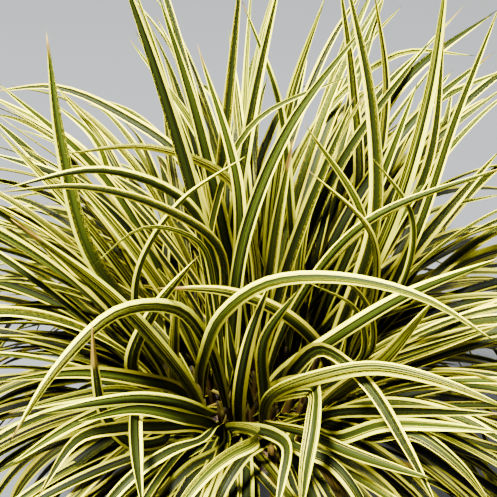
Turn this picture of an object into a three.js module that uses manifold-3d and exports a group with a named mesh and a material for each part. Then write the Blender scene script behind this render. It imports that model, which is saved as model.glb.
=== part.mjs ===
// A variegated carex sedge in a plain round pot, in millimetres.
// +Z is up, -Y is the front, and the origin is the centre of the pot's base, on the surface it stands on.
// The plant is a crown of leafy shoots. Each shoot is one solid: a sheath that stands in its own hole in the
// compost, with the shoot's keeled blades growing out of it.
import * as THREE from "three";
import { mergeVertices } from "three/addons/utils/BufferGeometryUtils.js";
import Module from "manifold-3d";

const wasm = await Module();
wasm.setup();

// ---- Driving dimensions ----
const POT = {
  height: 146,
  rimRadius: 84, // outside of the rim band
  rimBand: 22, // height of the thicker band under the rim
  rimStep: 3.5, // how far the band stands out from the wall
  baseRadius: 60,
  wall: 4,
  floor: 5,
  drainHoles: 6,
  drainRadius: 5,
  drainCircle: 40,
  sides: 32,
};
const SOIL = {
  edge: 133, // height at the pot's wall
  level: 137, // height where the shoots stand
  flat: 60, // radius of the level middle
  gap: 0.3,
  sides: 28,
};
const CROWN = { shoots: 40, radius: 52, lean: 16 }; // lean of the outermost sheaths, in degrees
const SHEATH = { radius: 4.4, topRadius: 2.6, height: 34, buried: 24, sides: 6 };
const BLADE = {
  width: 9.6, // a full-grown blade, at its widest
  keel: 1.5, // depth of the ridge under the midrib there
  thinnest: 0.7, // depth of the ridge close to the tip
  step: 76, // greatest length of one straight stretch of a blade
  turn: 19, // how far the blade turns, in degrees, from one stretch to the next
  clearance: 0.4, // least gap to a neighbouring shoot
};
const SLIVER = {
  height: 0.01, // of the thinnest triangle that is let stand
  edge: 0.02, // the shortest edge that is let stand
  smoothing: 0.03,
};
const BLADES_PER_SHOOT = 11; // at most
const SEED = 20418;

const FULL_TURN = 2 * Math.PI;
const GOLDEN_ANGLE = Math.PI * (3 - Math.sqrt(5));
const UP = new THREE.Vector3(0, 0, 1);
const crownCentre = new THREE.Vector3(0, 0, SOIL.level);

// ---- Front layout ----
// The leading blades are set out as they show from the front, on a square grid of columns and rows counted
// from its top left corner. Reach is how far, in millimetres, a point stands in front of the crown's centre.
const LAYOUT = {
  square: 0.66, // millimetres per grid square, at the crown's centre
  crown: [250, 405], // column and row where the crown's centre shows
  middle: 248.5, // column and row of the middle of the grid
  distance: 750, // from the eye to the plane of the grid
  tilt: THREE.MathUtils.degToRad(30), // the eye looks down at this angle
};
const sightLine = new THREE.Vector3(0, Math.cos(LAYOUT.tilt), -Math.sin(LAYOUT.tilt));
const layoutUp = new THREE.Vector3(0, Math.sin(LAYOUT.tilt), Math.cos(LAYOUT.tilt));
const eye = crownCentre
  .clone()
  .addScaledVector(layoutUp, (LAYOUT.crown[1] - LAYOUT.middle) * LAYOUT.square)
  .addScaledVector(sightLine, -LAYOUT.distance);
eye.x += (LAYOUT.middle - LAYOUT.crown[0]) * LAYOUT.square;

// The point that shows at a column and row of the layout and stands `reach` in front of the crown's centre.
function fromLayout([column, row, reach], shift = 0) {
  const onGrid = crownCentre.clone().addScaledVector(layoutUp, (LAYOUT.crown[1] - row) * LAYOUT.square);
  onGrid.x += (column - LAYOUT.crown[0]) * LAYOUT.square;
  const sight = onGrid.sub(eye);
  return eye.clone().addScaledVector(sight, (-(reach + shift) - eye.y) / sight.y);
}

// The column and row of the layout where a point shows.
function toLayout(point) {
  const sight = point.clone().sub(eye);
  const scale = LAYOUT.distance / sight.dot(sightLine) / LAYOUT.square;
  return [LAYOUT.middle + sight.x * scale, LAYOUT.middle - sight.dot(layoutUp) * scale];
}

// Leading blades: `root` is where the blade leaves the crown, as [right of centre, in front of centre] in
// millimetres; `points` are layout points along the blade, ending at its tip; `width` is its widest part as a
// share of a full-grown blade; `face` is how much it turns its upper side to the front, from 0 to 1.
const leadingBlades = [
  // Blades that reach forward and to the left.
  { root: [-28, 42], width: 0.9, face: 0.8,
    points: [[160, 404, 74], [140, 402, 100], [136, 441, 132], [143, 512, 160]] },
  { root: [-24, 32], width: 1, face: 0.9,
    points: [[206, 409, 58], [136, 319, 88], [56, 250, 106], [10, 218, 116]] },
  { root: [-22, 28], width: 1, face: 0.8,
    points: [[208, 345, 56], [188, 314, 68], [146, 305, 86], [88, 330, 112], [8, 445, 150]] },
  { root: [-46, 30], width: 1, face: 0.9,
    points: [[136, 384, 64], [133, 345, 70], [160, 302, 76], [198, 256, 80]] },
  { root: [-34, 46], width: 0.9, face: 0.9,
    points: [[155, 446, 88], [118, 437, 100], [99, 395, 108], [92, 322, 112]] },
  { root: [-36, 22], width: 1, face: 0.9,
    points: [[159, 384, 58], [96, 372, 86], [0, 381, 108]] },
  { root: [-34, 34], width: 0.9, face: 0.8,
    points: [[165, 403, 66], [112, 391, 88], [8, 413, 118]] },
  { root: [-6, 46], width: 1.05, face: 0.9,
    points: [[207, 413, 76], [160, 399, 98], [96, 403, 122], [36, 415, 138]] },
  { root: [-16, 46], width: 0.9, face: 0.8,
    points: [[190, 420, 80], [152, 408, 96], [70, 424, 128]] },
  { root: [-44, 36], width: 0.95, face: 0.8,
    points: [[130, 402, 88], [94, 413, 106], [8, 466, 142]] },
  { root: [-38, 46], width: 1, face: 0.8,
    points: [[118, 428, 106], [89, 428, 122], [36, 500, 156]] },
  { root: [-2, 24], width: 0.7, face: 0.8,
    points: [[237, 372, 40], [227, 316, 44]] },
  { root: [-36, 14], width: 0.8, face: 0.8,
    points: [[174, 348, 34], [178, 282, 32]] },
  // Blades in the middle and forward to the right.
  { root: [-4, 50], width: 1, face: 0.9,
    points: [[238, 412, 64], [248, 345, 76], [271, 280, 82]] },
  { root: [6, 38], width: 0.9, face: 0.8,
    points: [[262, 348, 58], [300, 288, 66]] },
  { root: [-26, 26], width: 0.95, face: 0.85,
    points: [[205, 352, 56], [232, 303, 72], [290, 278, 88], [407, 291, 112], [502, 346, 134]] },
  { root: [50, 14], width: 0.95, face: 0.9,
    points: [[332, 368, 46], [290, 318, 62], [236, 293, 74], [156, 288, 84]] },
  { root: [14, 34], width: 1.1, face: 0.9,
    points: [[300, 362, 66], [335, 351, 88], [384, 408, 120], [440, 512, 154]] },
  { root: [24, 24], width: 1.15, face: 0.9,
    points: [[366, 378, 66], [394, 345, 82], [434, 300, 90]] },
  { root: [4, 34], width: 1, face: 0.85,
    points: [[286, 371, 54], [345, 330, 76], [407, 294, 94], [506, 256, 120]] },
  { root: [2, 46], width: 1.05, face: 0.8,
    points: [[262, 402, 70], [300, 383, 88], [368, 368, 110], [423, 376, 126], [516, 412, 150]] },
  { root: [4, 54], width: 0.95, face: 0.85,
    points: [[266, 427, 74], [284, 425, 84], [360, 456, 122], [438, 481, 150]] },
  { root: [28, 34], width: 0.9, face: 0.8,
    points: [[330, 414, 78], [376, 411, 98], [506, 414, 138]] },
  { root: [24, 46], width: 1, face: 0.8,
    points: [[326, 440, 88], [392, 424, 114], [506, 433, 150]] },
  { root: [14, 44], width: 1.1, face: 0.9,
    points: [[303, 386, 84], [317, 394, 104], [309, 440, 130], [300, 520, 152]] },
  { root: [8, 52], width: 0.95, face: 0.9,
    points: [[284, 440, 96], [286, 456, 112], [274, 520, 142]] },
  { root: [32, 44], width: 1.05, face: 0.8,
    points: [[384, 436, 110], [430, 437, 128], [496, 512, 152]] },
  { root: [26, 18], width: 0.95, face: 0.8,
    points: [[392, 364, 68], [440, 338, 84], [504, 324, 98]] },
  { root: [38, 24], width: 0.5, face: 0.3,
    points: [[366, 346, 58], [366, 318, 66], [344, 302, 76], [305, 281, 90]] },
  { root: [44, 8], width: 0.5, face: 0.3,
    points: [[371, 350, 50], [371, 315, 60], [352, 286, 72], [316, 273, 86]] },
  // Upright blades, from left to right.
  { root: [-38, 5], width: 0.8, face: 0.8,
    points: [[88, 250, 15], [66, 172, 12], [46, 30, 0]] },
  { root: [-14, 20], width: 1.05, face: 0.9,
    points: [[201, 223, 20], [172, 118, 25], [112, -55, 20]] },
  { root: [-5, -10], width: 0.95, face: 0.9,
    points: [[217, 200, -2], [191, 96, -5], [157, -10, -12]] },
  { root: [-10, -38], width: 0.7, face: 0.5,
    points: [[205, 150, -40], [178, 75, -50], [128, 37, -60]] },
  { root: [-3, 15], width: 0.95, face: 0.8,
    points: [[240, 215, 25], [228, 130, 22], [197, 43, 10]] },
  { root: [-20, -20], width: 0.85, face: 0.9,
    points: [[215, 260, -15], [226, 128, -20], [243, -45, -30]] },
  { root: [-8, -5], width: 0.95, face: 0.9,
    points: [[236, 210, -8], [254, 100, -12], [283, -32, -20]] },
  { root: [22, -15], width: 0.6, face: 0.4,
    points: [[284, 130, -20], [268, 60, -25], [240, -5, -30]] },
  { root: [6, -12], width: 0.95, face: 0.9,
    points: [[279, 210, -8], [293, 138, -10]] },
  { root: [2, -30], width: 0.85, face: 0.8,
    points: [[272, 205, -30], [291, 95, -36], [327, -8, -42]] },
  { root: [-12, 25], width: 0.95, face: 0.9,
    points: [[238, 270, 30], [266, 172, 28], [320, 80, 20], [369, 20, 8]] },
  { root: [-22, -8], width: 0.5, face: 0.3,
    points: [[225, 165, 0], [290, 94, -5], [357, 72, -10]] },
  { root: [35, -28], width: 0.8, face: 0.8,
    points: [[362, 170, -35], [352, 80, -42], [338, -30, -48]] },
  { root: [36, 15], width: 1, face: 0.9,
    points: [[369, 250, 25], [375, 150, 25], [360, 35, 20], [343, -35, 15]] },
  { root: [44, -32], width: 0.65, face: 0.8,
    points: [[380, 160, -50], [386, 70, -52], [373, -18, -54]] },
  { root: [15, -22], width: 0.8, face: 0.8,
    points: [[312, 215, -20], [378, 108, -28], [430, 40, -34]] },
  { root: [30, -38], width: 0.9, face: 0.8,
    points: [[360, 150, -62], [425, 59, -72], [500, 8, -80]] },
  { root: [40, 2], width: 1, face: 0.9,
    points: [[385, 240, 2], [425, 115, 0], [450, -45, -5]] },
  { root: [46, -14], width: 0.8, face: 0.7,
    points: [[415, 200, -20], [440, 105, -22], [445, 28, -26]] },
  { root: [46, 8], width: 0.75, face: 0.6,
    points: [[405, 262, 12], [449, 136, 10], [502, 0, 5]] },
  { root: [48, -6], width: 1.1, face: 0.8,
    points: [[398, 272, -8], [449, 207, -12], [502, 148, -18]] },
  { root: [14, 12], width: 0.7, face: 0.6,
    points: [[330, 246, 38], [409, 204, 42], [512, 164, 42]] },
  { root: [44, 18], width: 0.55, face: 0.5,
    points: [[380, 250, 38], [346, 206, 42], [306, 168, 44]] },
  { root: [48, 2], width: 0.7, face: 0.6,
    points: [[364, 226, 14], [335, 160, 14], [303, 121, 10]] },
  { root: [50, -4], width: 0.5, face: 0.4,
    points: [[416, 248, 20], [398, 188, 24], [370, 154, 28]] },
  { root: [12, -4], width: 0.7, face: 0.7,
    points: [[311, 200, -4], [328, 122, -8], [364, 92, -12]] },
  { root: [8, 4], width: 0.9, face: 0.8,
    points: [[298, 230, 8], [330, 165, 4], [355, 95, 0]] },
  { root: [36, -14], width: 0.9, face: 0.8,
    points: [[372, 200, -16], [395, 130, -20], [419, 79, -24]] },
  { root: [46, -32], width: 0.8, face: 0.6,
    points: [[425, 145, -58], [508, 84, -78]] },
  { root: [4, -46], width: 0.6, face: 0.5,
    points: [[300, 150, -84], [390, 57, -108], [478, 56, -128]] },
  // Blades that arch to the left.
  { root: [-30, -38], width: 0.75, face: 0.6,
    points: [[190, 170, -60], [128, 118, -80], [56, 87, -96], [-12, 92, -106]] },
  { root: [-42, -22], width: 0.7, face: 0.7,
    points: [[115, 200, -38], [88, 125, -44], [70, 96, -48], [48, 99, -52]] },
  { root: [14, -2], width: 0.7, face: 0.6,
    points: [[246, 212, 0], [205, 158, 6], [128, 147, 12], [56, 155, 18]] },
  { root: [-22, 12], width: 0.8, face: 0.7,
    points: [[205, 230, 32], [151, 177, 48], [64, 172, 62], [-2, 190, 72]] },
  { root: [-14, 20], width: 0.7, face: 0.7,
    points: [[225, 260, 36], [167, 210, 54], [64, 185, 76], [-8, 193, 86]] },
  { root: [-26, -6], width: 0.8, face: 0.7,
    points: [[150, 250, 0], [89, 159, -6], [48, 120, -10], [-8, 78, -16]] },
  { root: [-36, -12], width: 0.75, face: 0.7,
    points: [[110, 262, -8], [48, 175, -14], [-8, 124, -20]] },
  { root: [-46, 22], width: 0.6, face: 0.25,
    points: [[133, 300, 50], [167, 215, 50], [251, 153, 40]] },
  { root: [-12, 30], width: 0.5, face: 0.3,
    points: [[195, 238, 44], [150, 226, 54], [90, 268, 66]] },
  { root: [-30, 8], width: 0.9, face: 0.8,
    points: [[170, 300, 14], [112, 223, 14], [58, 160, 8]] },
  // Blades that hang over the front of the pot's rim.
  { root: [0, 50], width: 0.95, face: 0.85,
    points: [[262, 438, 82], [232, 454, 104], [190, 492, 130], [160, 560, 140]] },
  { root: [6, 54], width: 0.95, face: 0.8,
    points: [[274, 436, 88], [250, 450, 106], [222, 490, 130], [204, 560, 138]] },
  { root: [-12, 52], width: 0.85, face: 0.8,
    points: [[226, 446, 88], [196, 462, 108], [160, 500, 128], [140, 570, 134]] },
  { root: [16, 52], width: 0.9, face: 0.8,
    points: [[290, 446, 92], [326, 460, 112], [360, 500, 130], [378, 570, 136]] },
  { root: [2, 54], width: 0.9, face: 0.8,
    points: [[258, 448, 92], [260, 470, 108], [256, 520, 122], [252, 580, 124]] },
  { root: [24, 50], width: 0.9, face: 0.8,
    points: [[310, 446, 92], [350, 462, 112], [396, 500, 130], [420, 570, 136]] },
  { root: [-24, 48], width: 0.85, face: 0.8,
    points: [[200, 440, 90], [160, 456, 110], [110, 500, 130], [84, 570, 136]] },
];

// Places where nothing stands in the way of the view past the leading blades, as [column, row, radius] on the
// layout. Drawn blades keep out of them.
const openings = [
  [90, 52, 38],
  [122, 84, 20],
  [112, 24, 24],
  [28, 34, 15],
  [29, 66, 12],
  [148, 108, 9],
  [212, 32, 15],
  [190, 28, 11],
  [213, 62, 11],
  [404, 31, 15],
  [425, 24, 8],
  [283, 51, 11],
  [298, 24, 8],
  [326, 34, 9],
  [317, 58, 7],
  [303, 155, 6],
  [473, 158, 10],
  [476, 216, 8],
];

// A blade that would touch a neighbour is tried again this far, in millimetres, in front of or behind where
// it was laid out. It still shows at the same place from the front.
const REACH_SHIFTS = [0, 6, -6, 12, -12, 18, -18, 24, -24, 32, -32];
const MOST_TWIST = 0.45; // radians by which a leading blade may turn between two of its rings
const HIDING_RADIUS = 8; // how near a drawn blade shows to a point that it hides, in layout squares
const NEIGHBOURS = [-1, 0, 1].flatMap((across) => [-1, 0, 1].map((down) => [across, down]));
const MOST_HIDDEN = 18; // points of the leading blades, 4 mm apart, that a drawn blade may stand in front of
const FEWEST_BLADES = 4; // a shoot with fewer may hide up to three times as many points
const DRAWS_PER_BLADE = 160; // chances that a drawn blade gets to find a clear place
// The low blades that arch out from under the others: how many an outer shoot gets at most, how far out it
// stands at least, how many chances each blade gets, and how far the blades may go.
const LOW = { blades: 3, share: 0.45, draws: 36, reach: 270, frontReach: 235, lowest: 16, overPot: 150 };

// ---- Solids ----

// A seeded generator of numbers from 0 to 1.
function seededRandom(seed) {
  let state = seed >>> 0;
  return () => {
    state = (state + 0x6d2b79f5) >>> 0;
    let bits = Math.imul(state ^ (state >>> 15), 1 | state);
    bits = (bits + Math.imul(bits ^ (bits >>> 7), 61 | bits)) ^ bits;
    return ((bits ^ (bits >>> 14)) >>> 0) / 4294967296;
  };
}

// A closed three.js geometry as a solid that can be joined and cut.
function toSolid(geometry) {
  const bare = geometry.clone();
  bare.deleteAttribute("normal");
  bare.deleteAttribute("uv");
  const merged = mergeVertices(bare.index ? bare.toNonIndexed() : bare, 1e-3);
  return new wasm.Manifold(
    new wasm.Mesh({
      numProp: 3,
      vertProperties: merged.attributes.position.array,
      triVerts: new Uint32Array(merged.index.array),
    }),
  );
}

// The largest body of a solid, its fine slivers smoothed away: hollows are filled and loose scraps dropped.
function largestBody(solid) {
  const bodies = solid.decompose().sort((a, b) => b.volume() - a.volume());
  return bodies[0].asOriginal().simplify(SLIVER.smoothing);
}

// Whether a solid is one body in which every edge is shared by just two triangles, none of them a sliver.
function isSound(solid) {
  const { vertProperties, triVerts } = solid.getMesh();
  const corner = (i) => new THREE.Vector3().fromArray(vertProperties, 3 * i);
  const edges = new Map();
  for (let i = 0; i < triVerts.length; i += 3) {
    const triangle = new THREE.Triangle(...[0, 1, 2].map((k) => corner(triVerts[i + k])));
    const corners = [triangle.a, triangle.b, triangle.c];
    const lengths = corners.map((point, k) => point.distanceTo(corners[(k + 1) % 3]));
    const height = (2 * triangle.getArea()) / Math.max(...lengths);
    if (height < SLIVER.height || Math.min(...lengths) < SLIVER.edge) return false;
    const keys = corners.map((point) => point.toArray().map((value) => value.toFixed(3)).join());
    for (let k = 0; k < 3; k++) {
      const edge = [keys[k], keys[(k + 1) % 3]].sort().join(" ");
      edges.set(edge, (edges.get(edge) ?? 0) + 1);
    }
  }
  if ([...edges.values()].some((count) => count !== 2)) return false;
  return toSolid(toGeometry(solid)).decompose().length === 1;
}

// A solid as a three.js geometry.
function toGeometry(solid) {
  const mesh = solid.getMesh();
  const geometry = new THREE.BufferGeometry();
  geometry.setAttribute("position", new THREE.BufferAttribute(mesh.vertProperties, 3));
  geometry.setIndex(new THREE.BufferAttribute(mesh.triVerts, 1));
  geometry.computeVertexNormals();
  return geometry;
}

// A closed geometry through rings of equally many points, each turning left round the way that the rings
// go. It starts with a flat cap, and ends at the point `tip` or, without one, in another flat cap.
function loft(rings, tip) {
  const sides = rings[0].length;
  const points = rings.flat();
  const last = (rings.length - 1) * sides;
  const index = [];
  for (let side = 2; side < sides; side++) index.push(0, side, side - 1);
  for (let ring = 0; ring + 1 < rings.length; ring++) {
    for (let side = 0; side < sides; side++) {
      const a = ring * sides + side;
      const b = ring * sides + ((side + 1) % sides);
      // A twisted panel is folded outwards along one of its diagonals, so it never cuts into the solid.
      const [p, q, r, t] = [a, b, b + sides, a + sides].map((corner) => points[corner]);
      const outward = r.clone().sub(p).cross(t.clone().sub(q));
      const fold = p.clone().add(r).sub(q).sub(t);
      if (fold.dot(outward) < 0) index.push(a, b, a + sides, b, b + sides, a + sides);
      else index.push(a, b, b + sides, a, b + sides, a + sides);
    }
  }
  if (tip) {
    points.push(tip);
    for (let side = 0; side < sides; side++) {
      index.push(last + side, last + ((side + 1) % sides), points.length - 1);
    }
  } else {
    for (let side = 2; side < sides; side++) index.push(last, last + side - 1, last + side);
  }
  return new THREE.BufferGeometry().setFromPoints(points).setIndex(index);
}

// A solid of revolution about +Z from [radius, height] pairs that start and end on the axis.
function turned(profile, sides) {
  const outline = profile.map(([radius, height]) => new THREE.Vector2(radius, height));
  return new THREE.LatheGeometry(outline, sides).rotateX(Math.PI / 2);
}

// ---- Pot and compost ----

function potSolid() {
  const { height, rimRadius, rimBand, rimStep, baseRadius, wall, floor } = POT;
  const bandFoot = height - rimBand;
  const wallTop = rimRadius - rimStep;
  const profile = [
    [0, 0],
    [baseRadius - 1.5, 0],
    [baseRadius, 1.5],
    [wallTop - 1, bandFoot],
    [rimRadius, bandFoot + 2],
    [rimRadius, height - 1.5],
    [rimRadius - 1.5, height],
    [wallTop - wall + 1.5, height],
    [wallTop - wall, height - 1.5],
    [baseRadius - wall, floor + 2],
    [baseRadius - wall - 2, floor],
    [0, floor],
  ];
  let pot = toSolid(turned(profile, POT.sides));
  for (let hole = 0; hole < POT.drainHoles; hole++) {
    const angle = (hole / POT.drainHoles) * FULL_TURN;
    const cutter = new THREE.CylinderGeometry(POT.drainRadius, POT.drainRadius, 3 * floor, 8);
    cutter.rotateX(Math.PI / 2);
    cutter.translate(POT.drainCircle * Math.cos(angle), POT.drainCircle * Math.sin(angle), 0);
    pot = pot.subtract(toSolid(cutter));
  }
  return pot;
}

// The inside radius of the pot at a height.
function potBore(z) {
  const share = (z - POT.floor) / (POT.height - POT.floor);
  return THREE.MathUtils.lerp(POT.baseRadius, POT.rimRadius - POT.rimStep, share) - POT.wall;
}

// The compost: level where the shoots stand, falling away to the pot's wall, with a hole for every sheath.
function compostSolid(shoots) {
  const foot = POT.floor + 2 + SOIL.gap;
  const profile = [
    [0, foot],
    [potBore(foot) - 2 * SOIL.gap - 1, foot],
    [potBore(SOIL.edge) - 2 * SOIL.gap, SOIL.edge],
    [SOIL.flat, SOIL.level],
    [0, SOIL.level],
  ];
  const holes = shoots.map((shoot) => toSolid(sheathGeometry(shoot, SOIL.gap)));
  return toSolid(turned(profile, SOIL.sides)).subtract(wasm.Manifold.union(holes));
}

// ---- Shoots ----

// The shoots stand in a sunflower spiral, and the outer ones lean outwards.
function layOutShoots() {
  return Array.from({ length: CROWN.shoots }, (_, i) => {
    const share = Math.sqrt((i + 0.5) / CROWN.shoots);
    const bearing = i * GOLDEN_ANGLE + 0.6;
    const heading = new THREE.Vector3(Math.cos(bearing), Math.sin(bearing), 0);
    const foot = heading.clone().multiplyScalar(CROWN.radius * share).setZ(SOIL.level);
    const lean = THREE.MathUtils.degToRad(CROWN.lean) * share;
    const axis = heading.clone().multiplyScalar(Math.sin(lean)).setZ(Math.cos(lean));
    const name = `shoot_${String(i + 1).padStart(2, "0")}`;
    return { name, share, bearing, foot, axis, blades: [] };
  });
}

// The sheath of a shoot, or the hole that it stands in when `gap` is the room left round it.
function sheathGeometry({ foot, axis, bearing }, gap = 0) {
  const ring = (height, radius) =>
    Array.from({ length: SHEATH.sides }, (_, side) => {
      const angle = bearing + ((side + 0.3) / SHEATH.sides) * FULL_TURN;
      return foot
        .clone()
        .addScaledVector(axis, height)
        .add(new THREE.Vector3(Math.cos(angle), Math.sin(angle), 0).multiplyScalar(radius));
    });
  const { radius, topRadius, height, buried } = SHEATH;
  const top = gap ? [ring(8, radius + gap)] : [ring(6, radius), ring(height, topRadius)];
  return loft([ring(-buried - gap, radius + gap), ...top]);
}

// The direction in which a spine runs at one of its points.
function directionAt(spine, i) {
  return (spine[i + 1] ?? spine[i]).clone().sub(spine[Math.max(i - 1, 0)]).normalize();
}

// A blade as a closed geometry: three-sided, flat above and keeled below, tapering to a point.
// `spine` runs from root to tip, and `sides` holds the direction of the blade's width at each of its points.
function bladeGeometry({ spine, sides, width }) {
  const last = spine.length - 1;
  const rings = [];
  for (let i = 0; i < last; i++) {
    const s = i / last;
    const tangent = directionAt(spine, i);
    const side = sides[i].clone().addScaledVector(tangent, -sides[i].dot(tangent)).normalize();
    const under = side.clone().cross(tangent);
    const half = (width * widthShare(s)) / 2;
    const keel = THREE.MathUtils.lerp(BLADE.thinnest, BLADE.keel, widthShare(s));
    rings.push([
      spine[i].clone().addScaledVector(side, half),
      spine[i].clone().addScaledVector(side, -half),
      spine[i].clone().addScaledVector(under, keel),
    ]);
  }
  return loft(rings, spine[last]);
}

// How wide a blade is along its length, as a share of its widest part: narrow where it leaves the sheath,
// widest before the middle, and drawn out to a fine tip.
function widthShare(s) {
  const base = 0.45 + 0.55 * Math.sin(Math.min(s / 0.4, 1) * (Math.PI / 2));
  const taper = 1 - Math.pow(Math.max(s - 0.35, 0) / 0.65, 2.1);
  return base * taper;
}

// How many straight stretches a blade is made of, from its length and from how far it turns in all.
function stretchesIn(length, turn) {
  return THREE.MathUtils.clamp(Math.round(Math.max(length / BLADE.step, turn / BLADE.turn)), 3, 9);
}

// How far a curve turns from its start to its end, in degrees.
function turnOf(curve) {
  const tangents = [0, 0.2, 0.4, 0.6, 0.8, 1].map((share) => curve.getTangentAt(share));
  const turns = tangents.slice(1).map((tangent, i) => tangent.angleTo(tangents[i]));
  return THREE.MathUtils.radToDeg(turns.reduce((sum, turn) => sum + turn, 0));
}

// Where the next blade of a shoot leaves the sheath's axis: each one higher than the one before.
function departure(shoot) {
  const share = 0.12 + (0.7 * shoot.blades.length) / BLADES_PER_SHOOT;
  return shoot.foot.clone().addScaledVector(shoot.axis, SHEATH.height * share);
}

// A leading blade: a smooth curve out of the sheath and through its layout points.
function leadingBlade(shoot, { points, width, face }, shift) {
  const laidOut = points.map((point) => fromLayout(point, shift));
  const start = departure(shoot);
  const outward = laidOut[0].clone().sub(start).normalize().addScaledVector(shoot.axis, 1.2).normalize();
  const curve = new THREE.CatmullRomCurve3([start, start.clone().addScaledVector(outward, 22), ...laidOut]);
  const spine = curve.getSpacedPoints(stretchesIn(curve.getLength(), turnOf(curve)));
  const run = spine.at(-1).clone().sub(spine[0]).setZ(0).normalize();
  const level = new THREE.Vector3(-run.y, run.x, 0);
  const tangents = spine.map((_, i) => directionAt(spine, i));
  // The blade turns its upper side to the front, by no more than MOST_TWIST from one ring to the next.
  const sides = [];
  for (const [i, point] of spine.entries()) {
    const tangent = tangents[i];
    const side = (sides[i - 1] ?? level).clone().projectOnPlane(tangent).normalize();
    const facing = tangent.clone().cross(eye.clone().sub(point)).normalize();
    if (facing.dot(side) < 0) facing.negate();
    const turn = face * Math.atan2(side.clone().cross(facing).dot(tangent), side.dot(facing));
    sides.push(side.applyAxisAngle(tangent, i ? THREE.MathUtils.clamp(turn, -MOST_TWIST, MOST_TWIST) : turn));
  }
  // The keel is on the outside of the bend: away from the crown where the blade rises, and below where it is
  // level.
  const keelOutside = sides.reduce((sum, side, i) => {
    const outside = run.clone().multiplyScalar(tangents[i].z).addScaledVector(UP, -tangents[i].dot(run));
    return sum + side.clone().cross(tangents[i]).dot(outside);
  }, 0);
  if (keelOutside < 0) sides.forEach((side) => side.negate());
  // A blade that comes nearer to the eye shows wider, so it is made narrower to show as it is laid out.
  const nearness = (middle) => middle.clone().sub(eye).dot(sightLine) / LAYOUT.distance;
  return { spine, sides, width: BLADE.width * width * nearness(spine[Math.floor(spine.length / 2)]) };
}

// A drawn blade: it leaves the sheath at a slant, and bends over more the further it goes. The two oldest
// blades of an outer shoot hang out over the pot's rim.
function drawnBlade(shoot, rank, random) {
  const age = 1 - rank / (BLADES_PER_SHOOT - 1); // 1 for the oldest, outermost blade of the shoot
  const hangs = rank < 2 && shoot.share > 0.5;
  const around = ((((rank + random() * 0.6) * FULL_TURN) / 3 + Math.PI) % FULL_TURN) - Math.PI;
  const bearing = shoot.bearing + (hangs ? (random() - 0.5) * 1.9 : around * (1 - 0.62 * shoot.share));
  const sweep = (random() - 0.5) * 0.7;
  const rise = hangs ? 52 + 24 * random() : 4 + random() * 14 + shoot.share * (6 + 44 * age * random());
  const droop = hangs ? 45 + 45 * random() : 15 + 60 * random() + 45 * age * (0.3 + 0.7 * shoot.share);
  const length = hangs ? 150 + 90 * random() : 190 + 110 * random() + 40 * (1 - age);
  const twist = (random() - 0.5) * 2.2;
  const width = 0.55 + 0.45 * random();
  const bend = hangs ? 1 : 1.5;
  return archedBlade(departure(shoot), { bearing, sweep, rise, droop, bend, length, twist, width });
}

// A low blade of an outer shoot: it leaves the foot of the sheath at a wide slant and arches down outside.
function lowBlade(shoot, random) {
  const height = SHEATH.height * (0.08 + 0.5 * random());
  const start = shoot.foot.clone().addScaledVector(shoot.axis, height);
  return archedBlade(start, {
    bearing: shoot.bearing + (random() - 0.5) * 2.2 * (1.3 - 0.6 * shoot.share),
    sweep: (random() - 0.5) * 1.7,
    rise: 32 + 42 * random(),
    droop: 34 + 78 * random(),
    bend: 1.2,
    length: 140 + 180 * random(),
    twist: (random() - 0.5) * 1.6,
    width: 0.6 + 0.45 * random(),
  });
}

// A blade that bends over more the further it goes, from a slant of `rise` degrees by `droop` degrees more.
function archedBlade(start, { bearing, sweep, rise, droop, bend, length, twist, width }) {
  const stretches = stretchesIn(length, droop);
  const spine = [start];
  const sides = [];
  for (let i = 0; i <= stretches; i++) {
    const s = (i + 0.5) / stretches;
    const slant = THREE.MathUtils.degToRad(rise + droop * Math.pow(s, bend));
    const heading = bearing + sweep * s;
    const ahead = new THREE.Vector3(Math.cos(heading), Math.sin(heading), 0);
    const along = ahead.multiplyScalar(Math.sin(slant)).setZ(Math.cos(slant));
    const level = new THREE.Vector3(-Math.sin(heading), Math.cos(heading), 0);
    sides.push(level.applyAxisAngle(along, twist * (i / stretches)));
    if (i < stretches) spine.push(spine[i].clone().addScaledVector(along, length / stretches));
  }
  return { spine, sides, width: BLADE.width * width };
}

// Whether a low blade stays above the ground and the pot's rim, and within reach of the plant.
function staysLow({ spine }) {
  const middles = spine.slice(1).map((point, i) => point.clone().lerp(spine[i], 0.5));
  return [...spine.slice(1), ...middles].every(({ x, y, z }) => {
    const out = Math.hypot(x, y);
    const overPot = out > POT.rimRadius - 12 && out < POT.rimRadius + 6;
    const within = Math.hypot(x / LOW.reach, y / (y < 0 ? LOW.frontReach : LOW.reach)) < 1;
    return within && z > LOW.lowest && (!overPot || z > LOW.overPot);
  });
}

// Whether a blade stays out of all the openings of the layout.
function keepsOut({ spine }) {
  const along = spine.slice(1).flatMap((point, i) => {
    return [0, 0.25, 0.5, 0.75].map((share) => point.clone().lerp(spine[i], share));
  });
  return along.map(toLayout).every(([column, row]) => {
    return openings.every(([x, y, radius]) => Math.hypot(column - x, row - y) > radius);
  });
}

// Points along a blade as they show from the front, as [column, row, distance from the eye].
function shownPoints({ spine }, spacing) {
  return spine.slice(1).flatMap((point, i) => {
    const count = Math.ceil(point.distanceTo(spine[i]) / spacing);
    return Array.from({ length: count }, (_, k) => {
      const place = point.clone().lerp(spine[i], k / count);
      return [...toLayout(place), place.distanceTo(eye)];
    });
  });
}

// The points of the leading blades, sorted into squares of the layout.
function sortPoints(points) {
  const squares = new Map();
  for (const point of points) {
    const key = squareOf(point[0], point[1]);
    squares.set(key, [...(squares.get(key) ?? []), point]);
  }
  return squares;
}

const squareOf = (column, row) => `${Math.floor(column / HIDING_RADIUS)},${Math.floor(row / HIDING_RADIUS)}`;

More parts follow.
